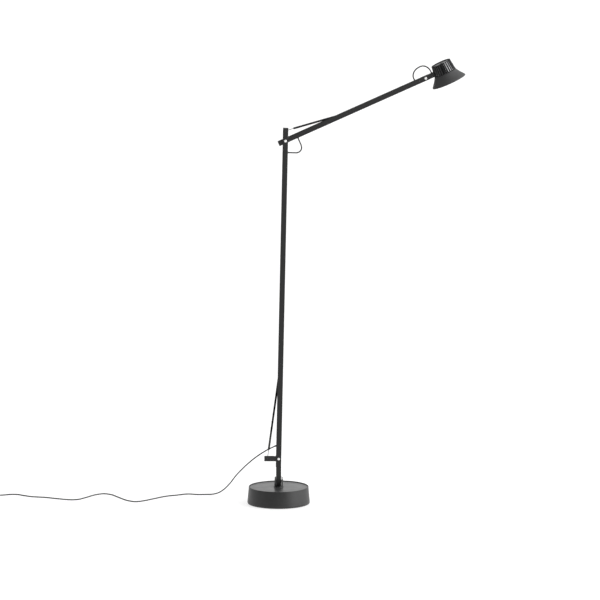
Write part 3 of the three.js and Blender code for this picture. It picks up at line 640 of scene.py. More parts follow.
def tube(name, line, radius, place=BASE, sides=12, tones=None):
    """A round tube along a line. radius is a number or one per point; tones fill the attribute bright."""
    radii = radius if isinstance(radius, list) else [radius] * len(line)
    normal = (line[1] - line[0]).orthogonal().normalized()
    verts, faces = [], []
    for i, point in enumerate(line):
        ahead = line[min(i + 1, len(line) - 1)] - line[max(i - 1, 0)]
        ahead.normalize()
        normal = (normal - ahead * normal.dot(ahead)).normalized()
        other = ahead.cross(normal)
        for k in range(sides):
            angle = 2 * pi * k / sides
            verts.append(point + (normal * cos(angle) + other * sin(angle)) * radii[i])
    for i in range(len(line) - 1):
        for k in range(sides):
            a, b = i * sides + k, i * sides + (k + 1) % sides
            faces.append([a, b, b + sides, a + sides])
    last = (len(line) - 1) * sides
    faces.append(list(range(sides))[::-1])
    faces.append(list(range(last, last + sides)))
    made = piece(name, verts, faces, place)
    if tones:
        attribute = made.data.attributes.new("bright", "FLOAT", "POINT")
        attribute.data.foreach_set("value", [tone for tone in tones for _ in range(sides)])
    return made


# ---- power cord, coil, tie and plug
# listed points: from the strain relief down to the floor, then along it
CORD_DROP = [
    (-15.9, -2.5, 218.7), (-38, -8, 209), (-62, -2, 193.7), (-88, 13, 172.6), (-114, 33, 147.1),
    (-140, 55, 118.1), (-163, 76, 89), (-186, 100, 54.5), (-210, 125, 26.2), (-232, 145, 10),
    (-253, 155, 3.6),
]
CORD_FLOOR = [
    (-274, 158), (-305, 156), (-345, 166), (-385, 145), (-425, 124), (-470, 78), (-510, 36),
    (-540, 20), (-570, 42), (-608, 108), (-635, 156), (-663, 171), (-693, 152), (-730, 97),
    (-758, 62), (-785, 56), (-830, 74), (-885, 102), (-930, 114), (-960, 133), (-990, 157),
    (-1015, 158), (-1043, 146), (-1066, 144), (-1085.5, 145),
]
CORD_ROUTE = CORD_DROP + [(x, y, FLOOR_CORD) for x, y in CORD_FLOOR]
# The coil winds in on the floor and out again on top: (turns, radius) at the corners of its spiral.
COIL_SPIRAL = [(0, 30.6), (3, 17.4), (3.5, 17.4), (4, 19.6), (6, 28.4), (7.4, 28.4)]
COIL_RISE = (3, 0.5)  # where the cord climbs to the upper layer, and over what part of a turn
COIL_TURNS = 7.25
TOP_LAYER = 6.6


def ease(t):
    t = max(0.0, min(1.0, t))
    return t * t * (3 - 2 * t)


def spiral_radius(turns):
    """The coil's radius there, with the spiral's corners rounded over a third of a turn."""
    total = 0.0
    offsets = [k / 24 for k in range(-4, 5)]
    for offset in offsets:
        at = max(0.0, turns + offset)
        for (before, r_before), (after, r_after) in zip(COIL_SPIRAL, COIL_SPIRAL[1:]):
            if at <= after:
                break
        share = min(1.0, (at - before) / (after - before))
        total += r_before + share * (r_after - r_before)
    return total / len(offsets)


def coil_line():
    """The wound length: in on the floor, then out on top; the last quarter turn leads to the plug."""
    points = []
    per_turn = 72
    start, climb = COIL_RISE
    for i in range(int(per_turn * COIL_TURNS) + 1):
        turns = i / per_turn
        radius = spiral_radius(turns)
        height = FLOOR_CORD + (TOP_LAYER - FLOOR_CORD) * ease((turns - start) / climb)
        angle = pi / 2 + 2 * pi * turns
        x = COIL_CENTRE[0] + radius * cos(angle)
        y = COIL_CENTRE[1] + radius * sin(angle)
        points.append(Vector((x, y, height)))
    return points


def make_cord():
    coil_start = (COIL_CENTRE[0], COIL_CENTRE[1] + spiral_radius(0), FLOOR_CORD)
    lead = curve_through([*CORD_ROUTE, coil_start], 12)
    coil = coil_line()
    x, y = PLUG_CENTRE
    to_plug = [(x, 106, 6.75), (x, 98.5, 7.2), (x, 91.4, 7.5), (x, y + 6, 7.5)]
    out = curve_through([coil[-2], coil[-1], *to_plug], 4)
    line = evenly([*lead[:-1], *coil[:-1], *out[4:]], 3.0)
    for point in line:
        point.z = max(point.z, FLOOR_CORD)  # the curve dips a little where it meets the floor
    cord = dressed(tube("supply_cord", line, CORD_RADIUS), "cable_jacket")
    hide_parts("power_cord", "cord_coil")
    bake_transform(cord)
    return cord, [list(point * MM) for point in line]


def make_tie():
    """A strap round the coil's section, with its loose end lying on top."""
    half_band = CORD_RADIUS + COIL_MIDDLE - COIL_SPIRAL[1][1] + 0.35
    middle = 0.1 + (TOP_LAYER + CORD_RADIUS + 0.5) / 2
    low, high = 0.12, 2 * middle
    place = shift(COIL_CENTRE[0], COIL_CENTRE[1], 0) @ Matrix.Rotation(radians(-50), 4, "Z")
    inside = [
        (-half_band, low, 1.4), (half_band, low, 1.4), (half_band, high - 2.2, 1.2),
        (half_band - 2.4, high, 1.2), (-half_band + 2.4, high, 1.2), (-half_band, high - 2.2, 1.2),
    ]
    line = [Vector((a + COIL_MIDDLE, 0, b)) for a, b in fillet(inside, True, 4)]
    tail = [Vector((COIL_MIDDLE + a, 0, b)) for a, b in ((half_band - 3, high + 0.5), (8, high + 0.7),
            (2, high + 0.75), (-3, high + 0.8), (-6.5, high + 1.2))]
    wrap = line[-1:] + line + tail
    half_width, thick = 5.0, 0.7
    verts, faces = [], []
    for i, point in enumerate(wrap):
        ahead = (wrap[min(i + 1, len(wrap) - 1)] - wrap[max(i - 1, 0)]).normalized()
        out = Vector((ahead.z, 0, -ahead.x))
        for depth, side in ((0, -1), (0, 1), (thick, 1), (thick, -1)):
            lift = out * depth
            lift.z = max(lift.z, 0.03 - point.z)
            verts.append(point + lift + Vector((0, side * half_width, 0)))
        if i:
            now, was = 4 * i, 4 * i - 4
            faces += [[was + k, was + (k + 1) % 4, now + (k + 1) % 4, now + k] for k in range(4)]
    faces += [[3, 2, 1, 0], [len(verts) - 4 + k for k in range(4)]]
    tie = piece("coil_tie", verts, faces, place)
    tie.data.materials.append(STRAP)
    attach(tie, "foot")
    return tie


def make_plug():
    px, py = PLUG_CENTRE
    place = shift(px, py)
    outline = [(-22, -34, 5), (22, -34, 5), (22, 34, 5), (-22, 34, 5)]
    body = prism("plug_body", outline, 0.2, 28.2, "Z", place)
    seam = prism("plug_seam", [(a * 1.1, b * 1.1, r) for a, b, r in outline], 13.6, 14.3, "Z", place)
    core = prism("plug_core", [(a * 0.968, b * 0.98, r) for a, b, r in outline], 13, 15, "Z", place)
    cut(seam, core)
    cut(body, seam, prism("plug_label", [(-15, -22, 3), (15, -22, 3), (15, 18, 3), (-15, 18, 3)],
            27.8, 30, "Z", place))
    bevelled(body, 1.2)
    finish(body, "plug")
    boss = lathe("plug_boss", [(0, -2), (4.2, -2), (4.2, 1, 0.4), (3.9, 2, 0.3), (3.9, 3, 0.3),
        (3.4, 3.6, 0.3),
            (3.6, 4.8, 0.3), (3.2, 5.6, 0.3), (3.4, 6.8, 0.3), (3.0, 7.6, 0.3),
            (3.2, 8.8, 0.3), (2.8, 9.8, 0.3), (2.9, 13, 0.5), (0, 13)],
        shift(px, py + 33, 7.5) @ ALONG_Y, 32)
    boss.parent = body
    pins = []
    for side in (-9.5, 9.5):
        pin = lathe("plug_pin", [(0, -19.9), (1.9, -19.9, 1.2), (1.9, -10), (2, -9.8), (2, 1), (0, 1)],
            shift(px + side, py - 33.5, 14.2) @ ALONG_Y, 24)
        pin.name = "plug_pin_left" if side < 0 else "plug_pin_right"
        pin.parent = body
        pins.append(pin)
    for part, slot in ((boss, "rubber"), (pins[0], "nickel"), (pins[1], "nickel")):
        dressed(part, slot)
    return [body, boss, *pins]


def make_strain_relief():
    tilt = radians(180 + 68)
    place = MAST @ shift(3, -2.5, 55) @ Matrix.Rotation(tilt, 4, "Y")
    profile = [(2.3, 0), (4.0, 0, 0.3), (4.0, 5, 0.4)]
    for i in range(6):
        z = 6.4 + 2.4 * i
        radius = 3.7 - 0.14 * i
        profile += [(radius - 0.5, z - 0.4, 0.2), (radius - 0.5, z, 0.2), (radius, z + 0.3, 0.2),
            (radius, z + 1.6, 0.2)]
    profile += [(2.6, 20.6, 0.2), (2.6, 21, 0.2), (2.3, 21)]
    return finish(lathe("cord_sleeve", profile, place, 36, 3), "strain_relief")


cord, cord_line = make_cord()
coil_tie = make_tie()
plug_pieces = make_plug()
cord_sleeve = make_strain_relief()

# ---- base


def make_base():
    rim_inner = BASE_NARROW - RIM_WIDTH
    housing = [
        (12.2, DECK_TOP, 0.4), (rim_inner, DECK_TOP), (rim_inner, BASE_HEIGHT, 0.7),
        (BASE_NARROW, BASE_HEIGHT, 1.0), (BASE_WIDE, 8, 9), (BASE_WIDE - 0.2, 3.8, 1.5),
        (BASE_WIDE - 1.2, 2, 1), (110, 2, 0.4), (112, 12, 2), (108.6, DECK_BOTTOM, 2),
        (12.2, DECK_BOTTOM, 0.4),
    ]
    finish(lathe("base_shell", housing, segments=192, steps=6), "base_housing")
    plate = [
        (12.2, PLATE_TOP - 3), (rim_inner - 0.3, PLATE_TOP - 3, 0.3), 
        (rim_inner - 0.3, PLATE_TOP + 1.2, 0.6),
        (20.6, PLATE_TOP + 1.2, 0.4), (20, PLATE_TOP, 0.2), (12.2, PLATE_TOP, 0.4),
    ]
    finish(lathe("base_deck", plate, segments=192), "base_top_plate")
    pad = [(0, PAD_HEIGHT), (PAD_RADIUS, PAD_HEIGHT, 0.5), (PAD_RADIUS, 0, 1.2)]
    for radius in range(104, 20, -8):
        pad += [(radius, 0, 0.3), (radius - 1, 1, 0.3), (radius - 2, 0, 0.3)]
    finish(lathe("grip_pad", [*pad, (0, 0)], segments=160, steps=3), "foot_pad")
    bush = [(4.3, 48.7, 0.3), (11.6, 48.7, 0.5), (11.6, 62.3), (19.5, 62.3, 0.3), (19.5, BUSH_TOP, 0.5),
        (4.3, BUSH_TOP, 0.3)]
    finish(lathe("bush", bush, segments=96), "swivel_bush")


# ---- fasteners


def hexagon(name, corner, low, high, place):
    outline = [(corner * cos(pi * i / 3), corner * sin(pi * i / 3)) for i in range(6)]
    return prism(name, outline, low, high, "Z", place)


def socket_head(name, profile, place, socket, top, depth, segments=48):
    """A turned screw with a hexagon socket in its head."""
    key = hexagon(name + "_socket", socket, top - depth, top + 2, place)
    return cut(lathe(name, profile, place, segments), key)


def make_pivot(name, place, radius, outer, member):
    """A pin with a domed bright head in front, its nut behind, and two friction washers in the fork."""
    side = place @ ALONG_Y
    front, back = -outer - 0.2, outer + 0.2
    head = 4.9
    pin = [(0, front - 1.8)]
    for angle in (15, 30, 45, 60, 75):
        turn = radians(angle)
        pin.append((head * sin(turn), front - 0.35 - 1.45 * cos(turn)))
    pin += [(head, front - 0.3, 0.1), (head, front, 0.15), (radius, front), (radius, back + 4.4),
        (radius - 0.6, back + 5), (0, back + 5)]
    finish(lathe(f"{name}_pin_bright", pin, side, 64), f"{name}_pin")
    nut = hexagon(f"{name}_nut", radius + 3.4, back, back + 4, side)
    cone = [(radius + 2.9, back - 1), (radius + 6, back - 1), (radius + 6, back + 6),
        (radius + 1.6, back + 6),
        (radius + 3.5, back + 3.1), (radius + 3.5, back + 0.6)]
    cut(nut, lathe("nut_cone", cone, side, 64), drill("nut_bore", radius + 0.15, back - 1, back + 6, side))
    finish(bevelled(nut, 0.15, 2), f"{name}_pin_nut")
    low, high = member + 0.2, outer - wall_of(outer) - 0.2
    washer = radius + 3.6
    for end, sign in (("back", 1), ("front", -1)):
        ends = sorted((sign * low, sign * high))
        bore = radius + 0.2
        ring = [(bore, ends[0]), (washer, ends[0], 0.15), (washer, ends[1], 0.15), (bore, ends[1])]
        finish(lathe(f"{name}_disc_{end}", ring, side, 64), f"{name}_washer_{end}")


def wall_of(outer):
    return MAST_WALL if outer == MAST_HALF else ARM_WALL


def rod_piece(name, radius, half, place, node):
    profile = [(0, -half), (radius, -half, 0.35), (radius, half, 0.35), (0, half)]
    return finish(lathe(name, profile, place @ ALONG_Y, 32), node)


# ---- foot: holder, post and lever


def make_foot():
    cone = [
        (0, HOLDER_BOTTOM), (17.2, HOLDER_BOTTOM, 0.4), (17.2, HOLDER_BOTTOM + 1, 0.5),
        (16.4, HOLDER_BOTTOM + 2, 0.6), (14.95, HOLDER_TOP - 0.6, 0.8), (13.8, HOLDER_TOP, 0.5),
        (0, HOLDER_TOP),
    ]
    slot_half = POST_SIDE + 0.3
    cross = shift(z=HOLDER_SCREW_HEIGHT) @ ALONG_X
    holder = cut(
        lathe("holder_cone", cone, segments=128, steps=6),
        block("slot", (-slot_half, slot_half + 1.4), (-30, 30), (SLOT_FLOOR, HOLDER_TOP + 5)),
        drill("cross_hole", 2.2, -30, 30, cross),
        drill("screw_seat", 4.1, 15.6, 30, cross),
    )
    finish(bevelled(holder, 0.5), "post_holder")
    screw = [(0, -15.8), (1.9, -15.8, 0.5), (1.9, 15.8), (3.8, 15.8, 0.2), (3.8, 17, 0.8),
        (2.6, 17.8, 0.5), (0, 17.8)]
    finish(socket_head("holder_bolt", screw, cross, 1.5, 17.8, 1.4), "holder_screw")

    top = LOWER_PIVOT.z / MM
    arch = [(POST_SIDE * cos(radians(a)), top + POST_SIDE * sin(radians(a)))
        for a in range(0, 181, 5)]
    post_outline = [(-POST_SIDE, SLOT_FLOOR + 0.2), (POST_SIDE, SLOT_FLOOR + 0.2), *arch]
    post = prism("post_bar", post_outline, -ARM_SIDE, ARM_SIDE, "Y")
    cut(post, drill("lock_seat", 3.2, 6, 30, LEVER @ shift(z=-6.9) @ ALONG_X))
    finish(bevelled(post, 0.7), "lower_post")

    end = -POST_SIDE - 0.3
    bar = block("lever_channel", (-LEVER_LENGTH, end), (-ARM_SIDE, ARM_SIDE),
        (-ARM_TOP, ARM_TOP), LEVER)
    trough = block("trough", (-LEVER_LENGTH + LEVER_FLOOR, end - 7), (-ARM_INNER, ARM_INNER),
        (-ARM_TOP + LEVER_FLOOR, ARM_TOP + 3), LEVER)
    hook = LEVER @ shift(x=-HOOK_OFFSET)
    cut(bar, trough, drill("hook_hole", HOOK_PIN + 0.15, -20, 20, hook @ ALONG_Y))
    finish(bevelled(bar, 0.7), "spring_lever")
    rod_piece("lever_pin", HOOK_PIN, ARM_SIDE + 0.2, hook, "lever_hook_pin")
    make_pivot("lower", LEVER, PIN_RADIUS, MAST_HALF, ARM_SIDE)


# ---- springs
SPRING_OUTER = 4.1
WIRE = 0.78  # radius
HOOK_WIRE = 1.15  # radius
PITCH = 1.56
LIGHT_TURN_TONE = 0.42  # how far the lighter first turns go towards the hooks' colour, where the hooks are 1


def hook_points(flip):
    """An open eye round a hook pin at the origin, then the wire that leads up the Z axis."""
    eye = HOOK_PIN + HOOK_WIRE + 0.1
    turns = [radians(a) for a in range(110, 361, 12)]
    points = [Vector((flip * eye * cos(a), 0, eye * sin(a))) for a in turns]
    return [*points, Vector((flip * 2.0, 0, 2.6)), Vector((flip * 1.1, 0, 5)), Vector((flip * 0.3, 0, 7.4)),
        Vector((0, 0, 10))]


def spring_line(length, hook, tail, lighter_turns):
    """The whole wire from eye to eye, with how bright and how thick each point is."""
    steps = 12
    middle = SPRING_OUTER - WIRE
    count = int((length - hook - tail) / PITCH * steps)
    line = [*hook_points(1), Vector((0, 0, hook - 4))]
    tones, radii = [1.0] * len(line), [HOOK_WIRE] * len(line)
    for i in range(count + 1):
        share = min(1.0, i / steps, (count - i) / steps)
        angle = 2 * pi * i / steps
        z = hook + (length - hook - tail) * i / count
        radius = middle * ease(share)
        line.append(Vector((radius * cos(angle), radius * sin(angle), z)))
        # turns within the given length of the lower hook get the lighter colour
        tones.append(LIGHT_TURN_TONE if z < hook + lighter_turns else 0.0)
        radii.append(WIRE + (HOOK_WIRE - WIRE) * (1 - share))
    line.append(Vector((0, 0, length - tail + 2)))
    line += [Vector((p.x, 0, length - p.z)) for p in reversed(hook_points(-1))]
    extra = len(line) - len(tones)
    return line, tones + [1.0] * extra, radii + [HOOK_WIRE] * extra


def make_spring(name, node, place, start, end, hook, tail, lighter_turns):
    """A close-wound extension spring between two pins; start and end are (x, z) in the local frame."""
    a, b = place @ (Vector((start[0], 0, start[1])) * MM), place @ (Vector((end[0], 0, end[1])) * MM)
    direction = (b - a).normalized()
    lying = axes(a, Vector((0, 1, 0)).cross(direction), direction)
    line, tones, radii = spring_line((b - a).length / MM, hook, tail, lighter_turns)
    spring = dressed(tube(name, line, radii, lying, 6, tones), "spring_steel")
    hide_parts(node)
    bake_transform(spring)


# ---- mast


def grommet_piece(name, node, inside, outside, place):
    bore = CABLE + 0.1
    profile = [(bore, inside, 0.2), (3.4, inside, 0.2), (3.4, outside + 0.2), (4.5, outside + 0.2, 0.2),
        (4.3, outside + 1, 0.4), (bore, outside + 1, 0.3)]
    return finish(lathe(name, profile, place, 40), node)


def make_mast():
    top = MAST_PIVOTS + MAST_STUB
    corner = 2.4
    section = [
        (-MAST_HALF, MAST_INNER, 0.4), (MAST_INNER, MAST_INNER, 0.6), (MAST_INNER, -MAST_INNER, 0.6),
        (-MAST_HALF, -MAST_INNER, 0.4), (-MAST_HALF, -MAST_HALF, 0.8), (MAST_HALF, -MAST_HALF, corner),
        (MAST_HALF, MAST_HALF, corner), (-MAST_HALF, MAST_HALF, 0.8),
    ]
    web = (MAST_INNER - 1, MAST_HALF + 1)
    span = (-MAST_INNER, MAST_INNER)
    cable_height = MAST_PIVOTS - JOINT_HOLE
    tube_section = cut(
        prism("mast_channel", section, -MAST_FOOT, top, "Z", MAST, 5),
        block("lower_fork", web, span, (-MAST_FOOT - 1, LOWER_SLOT), MAST),
        block("upper_fork", web, span, (MAST_PIVOTS - UPPER_SLOT, top + 1), MAST),
        drill("cable_hole", 3.5, MAST_INNER - 2, MAST_HALF + 2, MAST @ shift(z=cable_height) @ ALONG_X),
    )
    finish(bevelled(tube_section, 0.35, 2), "mast")

    cap = [(-8.6, -6.7, 1.5), (8.6, -6.7, 1.5), (8.6, 6.7, 1.5), (-8.6, 6.7, 1.5)]
    finish(bevelled(prism("mast_plug", cap, top - 4, top + 0.6, "Z", MAST), 0.3), "mast_top_cap")
    pin_half = MAST_HALF + 0.4
    rod_piece("mast_spring_pin", HOOK_PIN, pin_half, MAST @ shift(z=LOWER_ANCHOR), "mast_anchor_pin")
    rod_piece("mast_hook_pin", HOOK_PIN, pin_half, MAST @ shift(z=MAST_PIVOTS + UPPER_HOOK),
        "upper_hook_pin")

    run_x, run_y, clamp = MAST_INNER - CABLE - 0.4, MAST_INNER - CABLE - 0.3, 51
    route = [
        (2.6, 4.2, clamp + 5), (2.9, 4.3, clamp + 20), (run_x, run_y, clamp + 45),
        (run_x, run_y, clamp + 80),
        (run_x, run_y, cable_height - 100), (run_x, run_y, cable_height - 60), (1, 2.5, cable_height - 32),
        (-2.6, 0.6, cable_height - 16), (-2.2, 0, cable_height - 7), (1, 0, cable_height - 1.4),
        (6, 0, cable_height), (MAST_HALF + 1.6, 0, cable_height),
    ]
    finish(tube("mast_lead", curve_through(route, 6), CABLE, MAST, 14), "mast_cable")
    grommet_piece("mast_sleeve", "mast_grommet", MAST_INNER - 0.2, MAST_HALF,
        MAST @ shift(z=cable_height) @ ALONG_X)
    make_pivot("upper", ARM, PIN_RADIUS, MAST_HALF, ARM_SIDE)

    lean = atan2(MAST_AXIS.x, MAST_AXIS.z)
    hooked = (-HOOK_OFFSET * cos(lean), -HOOK_OFFSET * sin(lean))
    make_spring("lower_coil", "lower_spring", MAST, hooked, (0, LOWER_ANCHOR), 34, 16, 70)


# ---- arm


def in_arm(point):
    """A point in the mast's plane, from the upper pivot, given in the arm's frame."""
    tilt = MAST_AXIS.angle(ARM_UP)
    x, z = point
    return x * cos(tilt) + z * sin(tilt), 0, -x * sin(tilt) + z * cos(tilt)


def make_arm():
    section = [
        (-ARM_SIDE, ARM_TOP, 0.5), (-ARM_SIDE, -ARM_TOP, 1.3),
        (ARM_SIDE, -ARM_TOP, 1.3), (ARM_SIDE, ARM_TOP, 0.5),
        (ARM_INNER, ARM_TOP, 0.4), (ARM_INNER, ARM_FLOOR, 0.5), (-ARM_INNER, ARM_FLOOR, 0.5),
        (-ARM_INNER, ARM_TOP, 0.4),
    ]
    front = ARM_PIVOTS + ARM_FRONT
    channel = cut(
        prism("arm_channel", section, -ARM_REAR, front, "X", ARM, 4),
        block("front_fork", (ARM_PIVOTS - ARM_SLOT, front + 5), (-ARM_INNER, ARM_INNER),
            (-ARM_TOP - 1, ARM_FLOOR + 1), ARM),
        drill("arm_cable_hole", 3.5, -ARM_TOP - 2, ARM_FLOOR + 2, ARM @ shift(x=ARM_HOLE)),
    )
    finish(bevelled(channel, 0.35, 2), "arm")

    cap = prism("arm_plug", [(-ARM_SIDE, ARM_TOP, 0.8), (-ARM_SIDE, -ARM_TOP, 1.3),
            (ARM_SIDE, -ARM_TOP, 1.3), (ARM_SIDE, ARM_TOP, 0.8)],
        -ARM_REAR - 1.6, -ARM_REAR - 0.3, "X", ARM)
    finish(bevelled(cap, 0.4), "arm_end_cap")
    pin_half = ARM_SIDE + 0.3
    rod_piece("arm_spring_pin", HOOK_PIN, pin_half, ARM @ shift(UPPER_ANCHOR, 0, 0.5), "arm_anchor_pin")
    spacer = block("arm_block", (SPACER - 7, SPACER + 7), (-ARM_INNER + 0.2, ARM_INNER - 0.2),
        (ARM_FLOOR + 0.3, ARM_TOP - 0.5), ARM)
    finish(bevelled(spacer, 0.6), "arm_spacer")
    side = ARM_SIDE
    screw = [(0, -side - 1.4), (1.3, -side - 1.35, 0.5), (2.4, -side - 0.7, 0.5), (2.4, -side - 0.2, 0.15),
        (HOOK_PIN, -side - 0.2), (HOOK_PIN, side + 0.4, 0.3), (0, side + 0.4)]
    place = ARM @ shift(x=SPACER) @ ALONG_Y
    turned_screw = lathe("spacer_bolt", screw, place, 40)
    cut(turned_screw, hexagon("spacer_socket", 1.0, -side - 2, -side - 0.6, place))
    finish(turned_screw, "spacer_screw")

    grommet_piece("arm_sleeve", "arm_grommet", -ARM_FLOOR - 0.2, ARM_TOP,
        ARM @ shift(x=ARM_HOLE) @ Matrix.Rotation(pi, 4, "X"))
    run_y, run_z = ARM_INNER - CABLE - 0.1, ARM_FLOOR + CABLE + 0.2
    route = [
        (ARM_HOLE, 0, -ARM_TOP - 1.6), (ARM_HOLE, 0, -ARM_TOP + 1.8), (ARM_HOLE + 1.4, 0, -2.6),
        (ARM_HOLE + 6.5, 0.2, 1), (ARM_HOLE + 16, 0.8, 0), (ARM_HOLE + 32, run_y - 0.2, run_z + 0.6),
        (ARM_HOLE + 60, run_y, run_z), (ARM_EXIT - 80, run_y, run_z), (ARM_EXIT - 40, run_y, run_z),
        (ARM_EXIT - 22, 1.4, -3.8), (ARM_EXIT - 7, 0.4, 0), (ARM_EXIT - 0.5, 0, 6),
        (ARM_EXIT, 0, ARM_TOP + 1.5),
    ]
    finish(tube("arm_lead", curve_through(route, 6), CABLE, ARM, 14), "arm_cable")

    loop = [(MAST_HALF + 1.2, -JOINT_HOLE), (19, -JOINT_HOLE), (34, -45.2), (46, -44.5), (56, -38.5),
        (61, -27.5), (58.8, -15), (54.2, -5.2)]
    route = [in_arm(point) for point in loop]
    route += [(ARM_HOLE, 0, -ARM_TOP - 9), (ARM_HOLE, 0, -ARM_TOP - 1.2)]
    line = evenly(curve_through(route, 10), 1.6)
    cable = dressed(tube("joint_loop", line, CABLE, ARM, 14), "cable_jacket")
    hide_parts("joint_cable")
    ARM @ (Vector(in_arm((30, -45))) * MM)
    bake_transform(cable)

    hooked = in_arm((0, UPPER_HOOK))
    make_spring("upper_coil", "upper_spring", ARM, (hooked[0], hooked[2]), (UPPER_ANCHOR, 0.5), 30, 16, 0)
    make_pivot("head", HEAD, HEAD_PIN_RADIUS, ARM_SIDE, 3.5)


# ---- head


def crown_radius(z):
    share = (CROWN_TOP - z) / (CROWN_TOP - CROWN_BOTTOM)
    return CROWN_NARROW + share * (CROWN_WIDE - CROWN_NARROW)


def groove(degrees):
    """How deep the outside is at an angle: 0 on a fin, 1 on a groove's floor, with rounded edges."""
    if abs(degrees % 360 - 180) < LAND_HALF_ANGLE:  # the plain land where the neck meets the crown
        return 0.0
    part = ((degrees - FIN_PHASE) * FIN_COUNT / 360) % 1
    if part <= 0.04:
        return 1 - ease((part + 0.07) / 0.11)
    return ease((part - 0.31) / 0.12) * (1 - ease((part - 0.93) / 0.11))


def crown_line():
    """The crown's profile as (radius, z, how deep its grooves are there)."""
    outer = [(CROWN_WIDE - 0.4, CROWN_BOTTOM, 0), (CROWN_WIDE, CROWN_BOTTOM + 0.5, 0)]
    for z, depth in ((-9.4, 0), (-8.4, 0.25), (-7.4, 0.62), (-6.2, 0.9), (-4.8, 1), (2, 1), (10, 1), (18, 1),
        (24, 1), (27.4, 1), (28.2, 0.97), (28.8, 0.86)):
        outer.append((crown_radius(z), z, depth))
    outer += [(CROWN_NARROW + 0.05, CROWN_TOP - 0.7, 0.7), (CROWN_NARROW - 0.15, CROWN_TOP - 0.25, 0.62),
        (CROWN_NARROW - 0.6, CROWN_TOP, 0.5), (CROWN_NARROW - 2.4, CROWN_TOP, 0.0),
        (RECESS + 0.5, CROWN_TOP, 0), (RECESS, CROWN_TOP - 0.5, 0), (RECESS, 18, 0),
        (0, 18, 0)]
    inner = [(0, 14, 0), (RECESS, 14, 0), (RECESS, CROWN_BOTTOM, 0)]
    return outer, inner


def make_crown():
    outer, inner = crown_line()
    columns = FIN_COUNT * 16
    rows = outer + inner
    verts, faces, rings = [], [], []
    for radius, z, deep in rows:
        if radius == 0:
            rings.append([len(verts)] * columns)
            verts.append((0, 0, z))
            continue
        rings.append(list(range(len(verts), len(verts) + columns)))
        for i in range(columns):
            degrees = 360 * i / columns
            reach = radius - FIN_DEPTH * deep * groove(degrees)
            angle = radians(degrees)
            verts.append((reach * cos(angle), reach * sin(angle), z))
    for k in range(len(rows)):
        lower, upper = rings[k], rings[(k + 1) % len(rows)]
        if rows[k][0] == 0 and rows[(k + 1) % len(rows)][0] == 0:
            continue
        for i in range(columns):
            j = (i + 1) % columns
            face = list(dict.fromkeys([lower[i], lower[j], upper[j], upper[i]]))
            if len(face) > 2:
                faces.append(face)
    crown = finish(piece("finned_crown", verts, faces, SHADE), "crown")
    mark_lands(crown)
    crown.data.materials[0] = FINNED_COAT


def mark_lands(crown):
    """Marks the vertices on the fins' outer faces, for the crown's material."""
    inward = SHADE.inverted()
    tones = []
    for vertex in crown.data.vertices:
        point = (inward @ vertex.co) / MM
        reach = hypot(point.x, point.y)
        on_side = CROWN_BOTTOM + 2 < point.z < CROWN_TOP - 1
        tones.append(1.0 if on_side and reach > crown_radius(point.z) - 0.35 else 0.0)
    crown.data.attributes.new("land", "FLOAT", "POINT").data.foreach_set("value", tones)


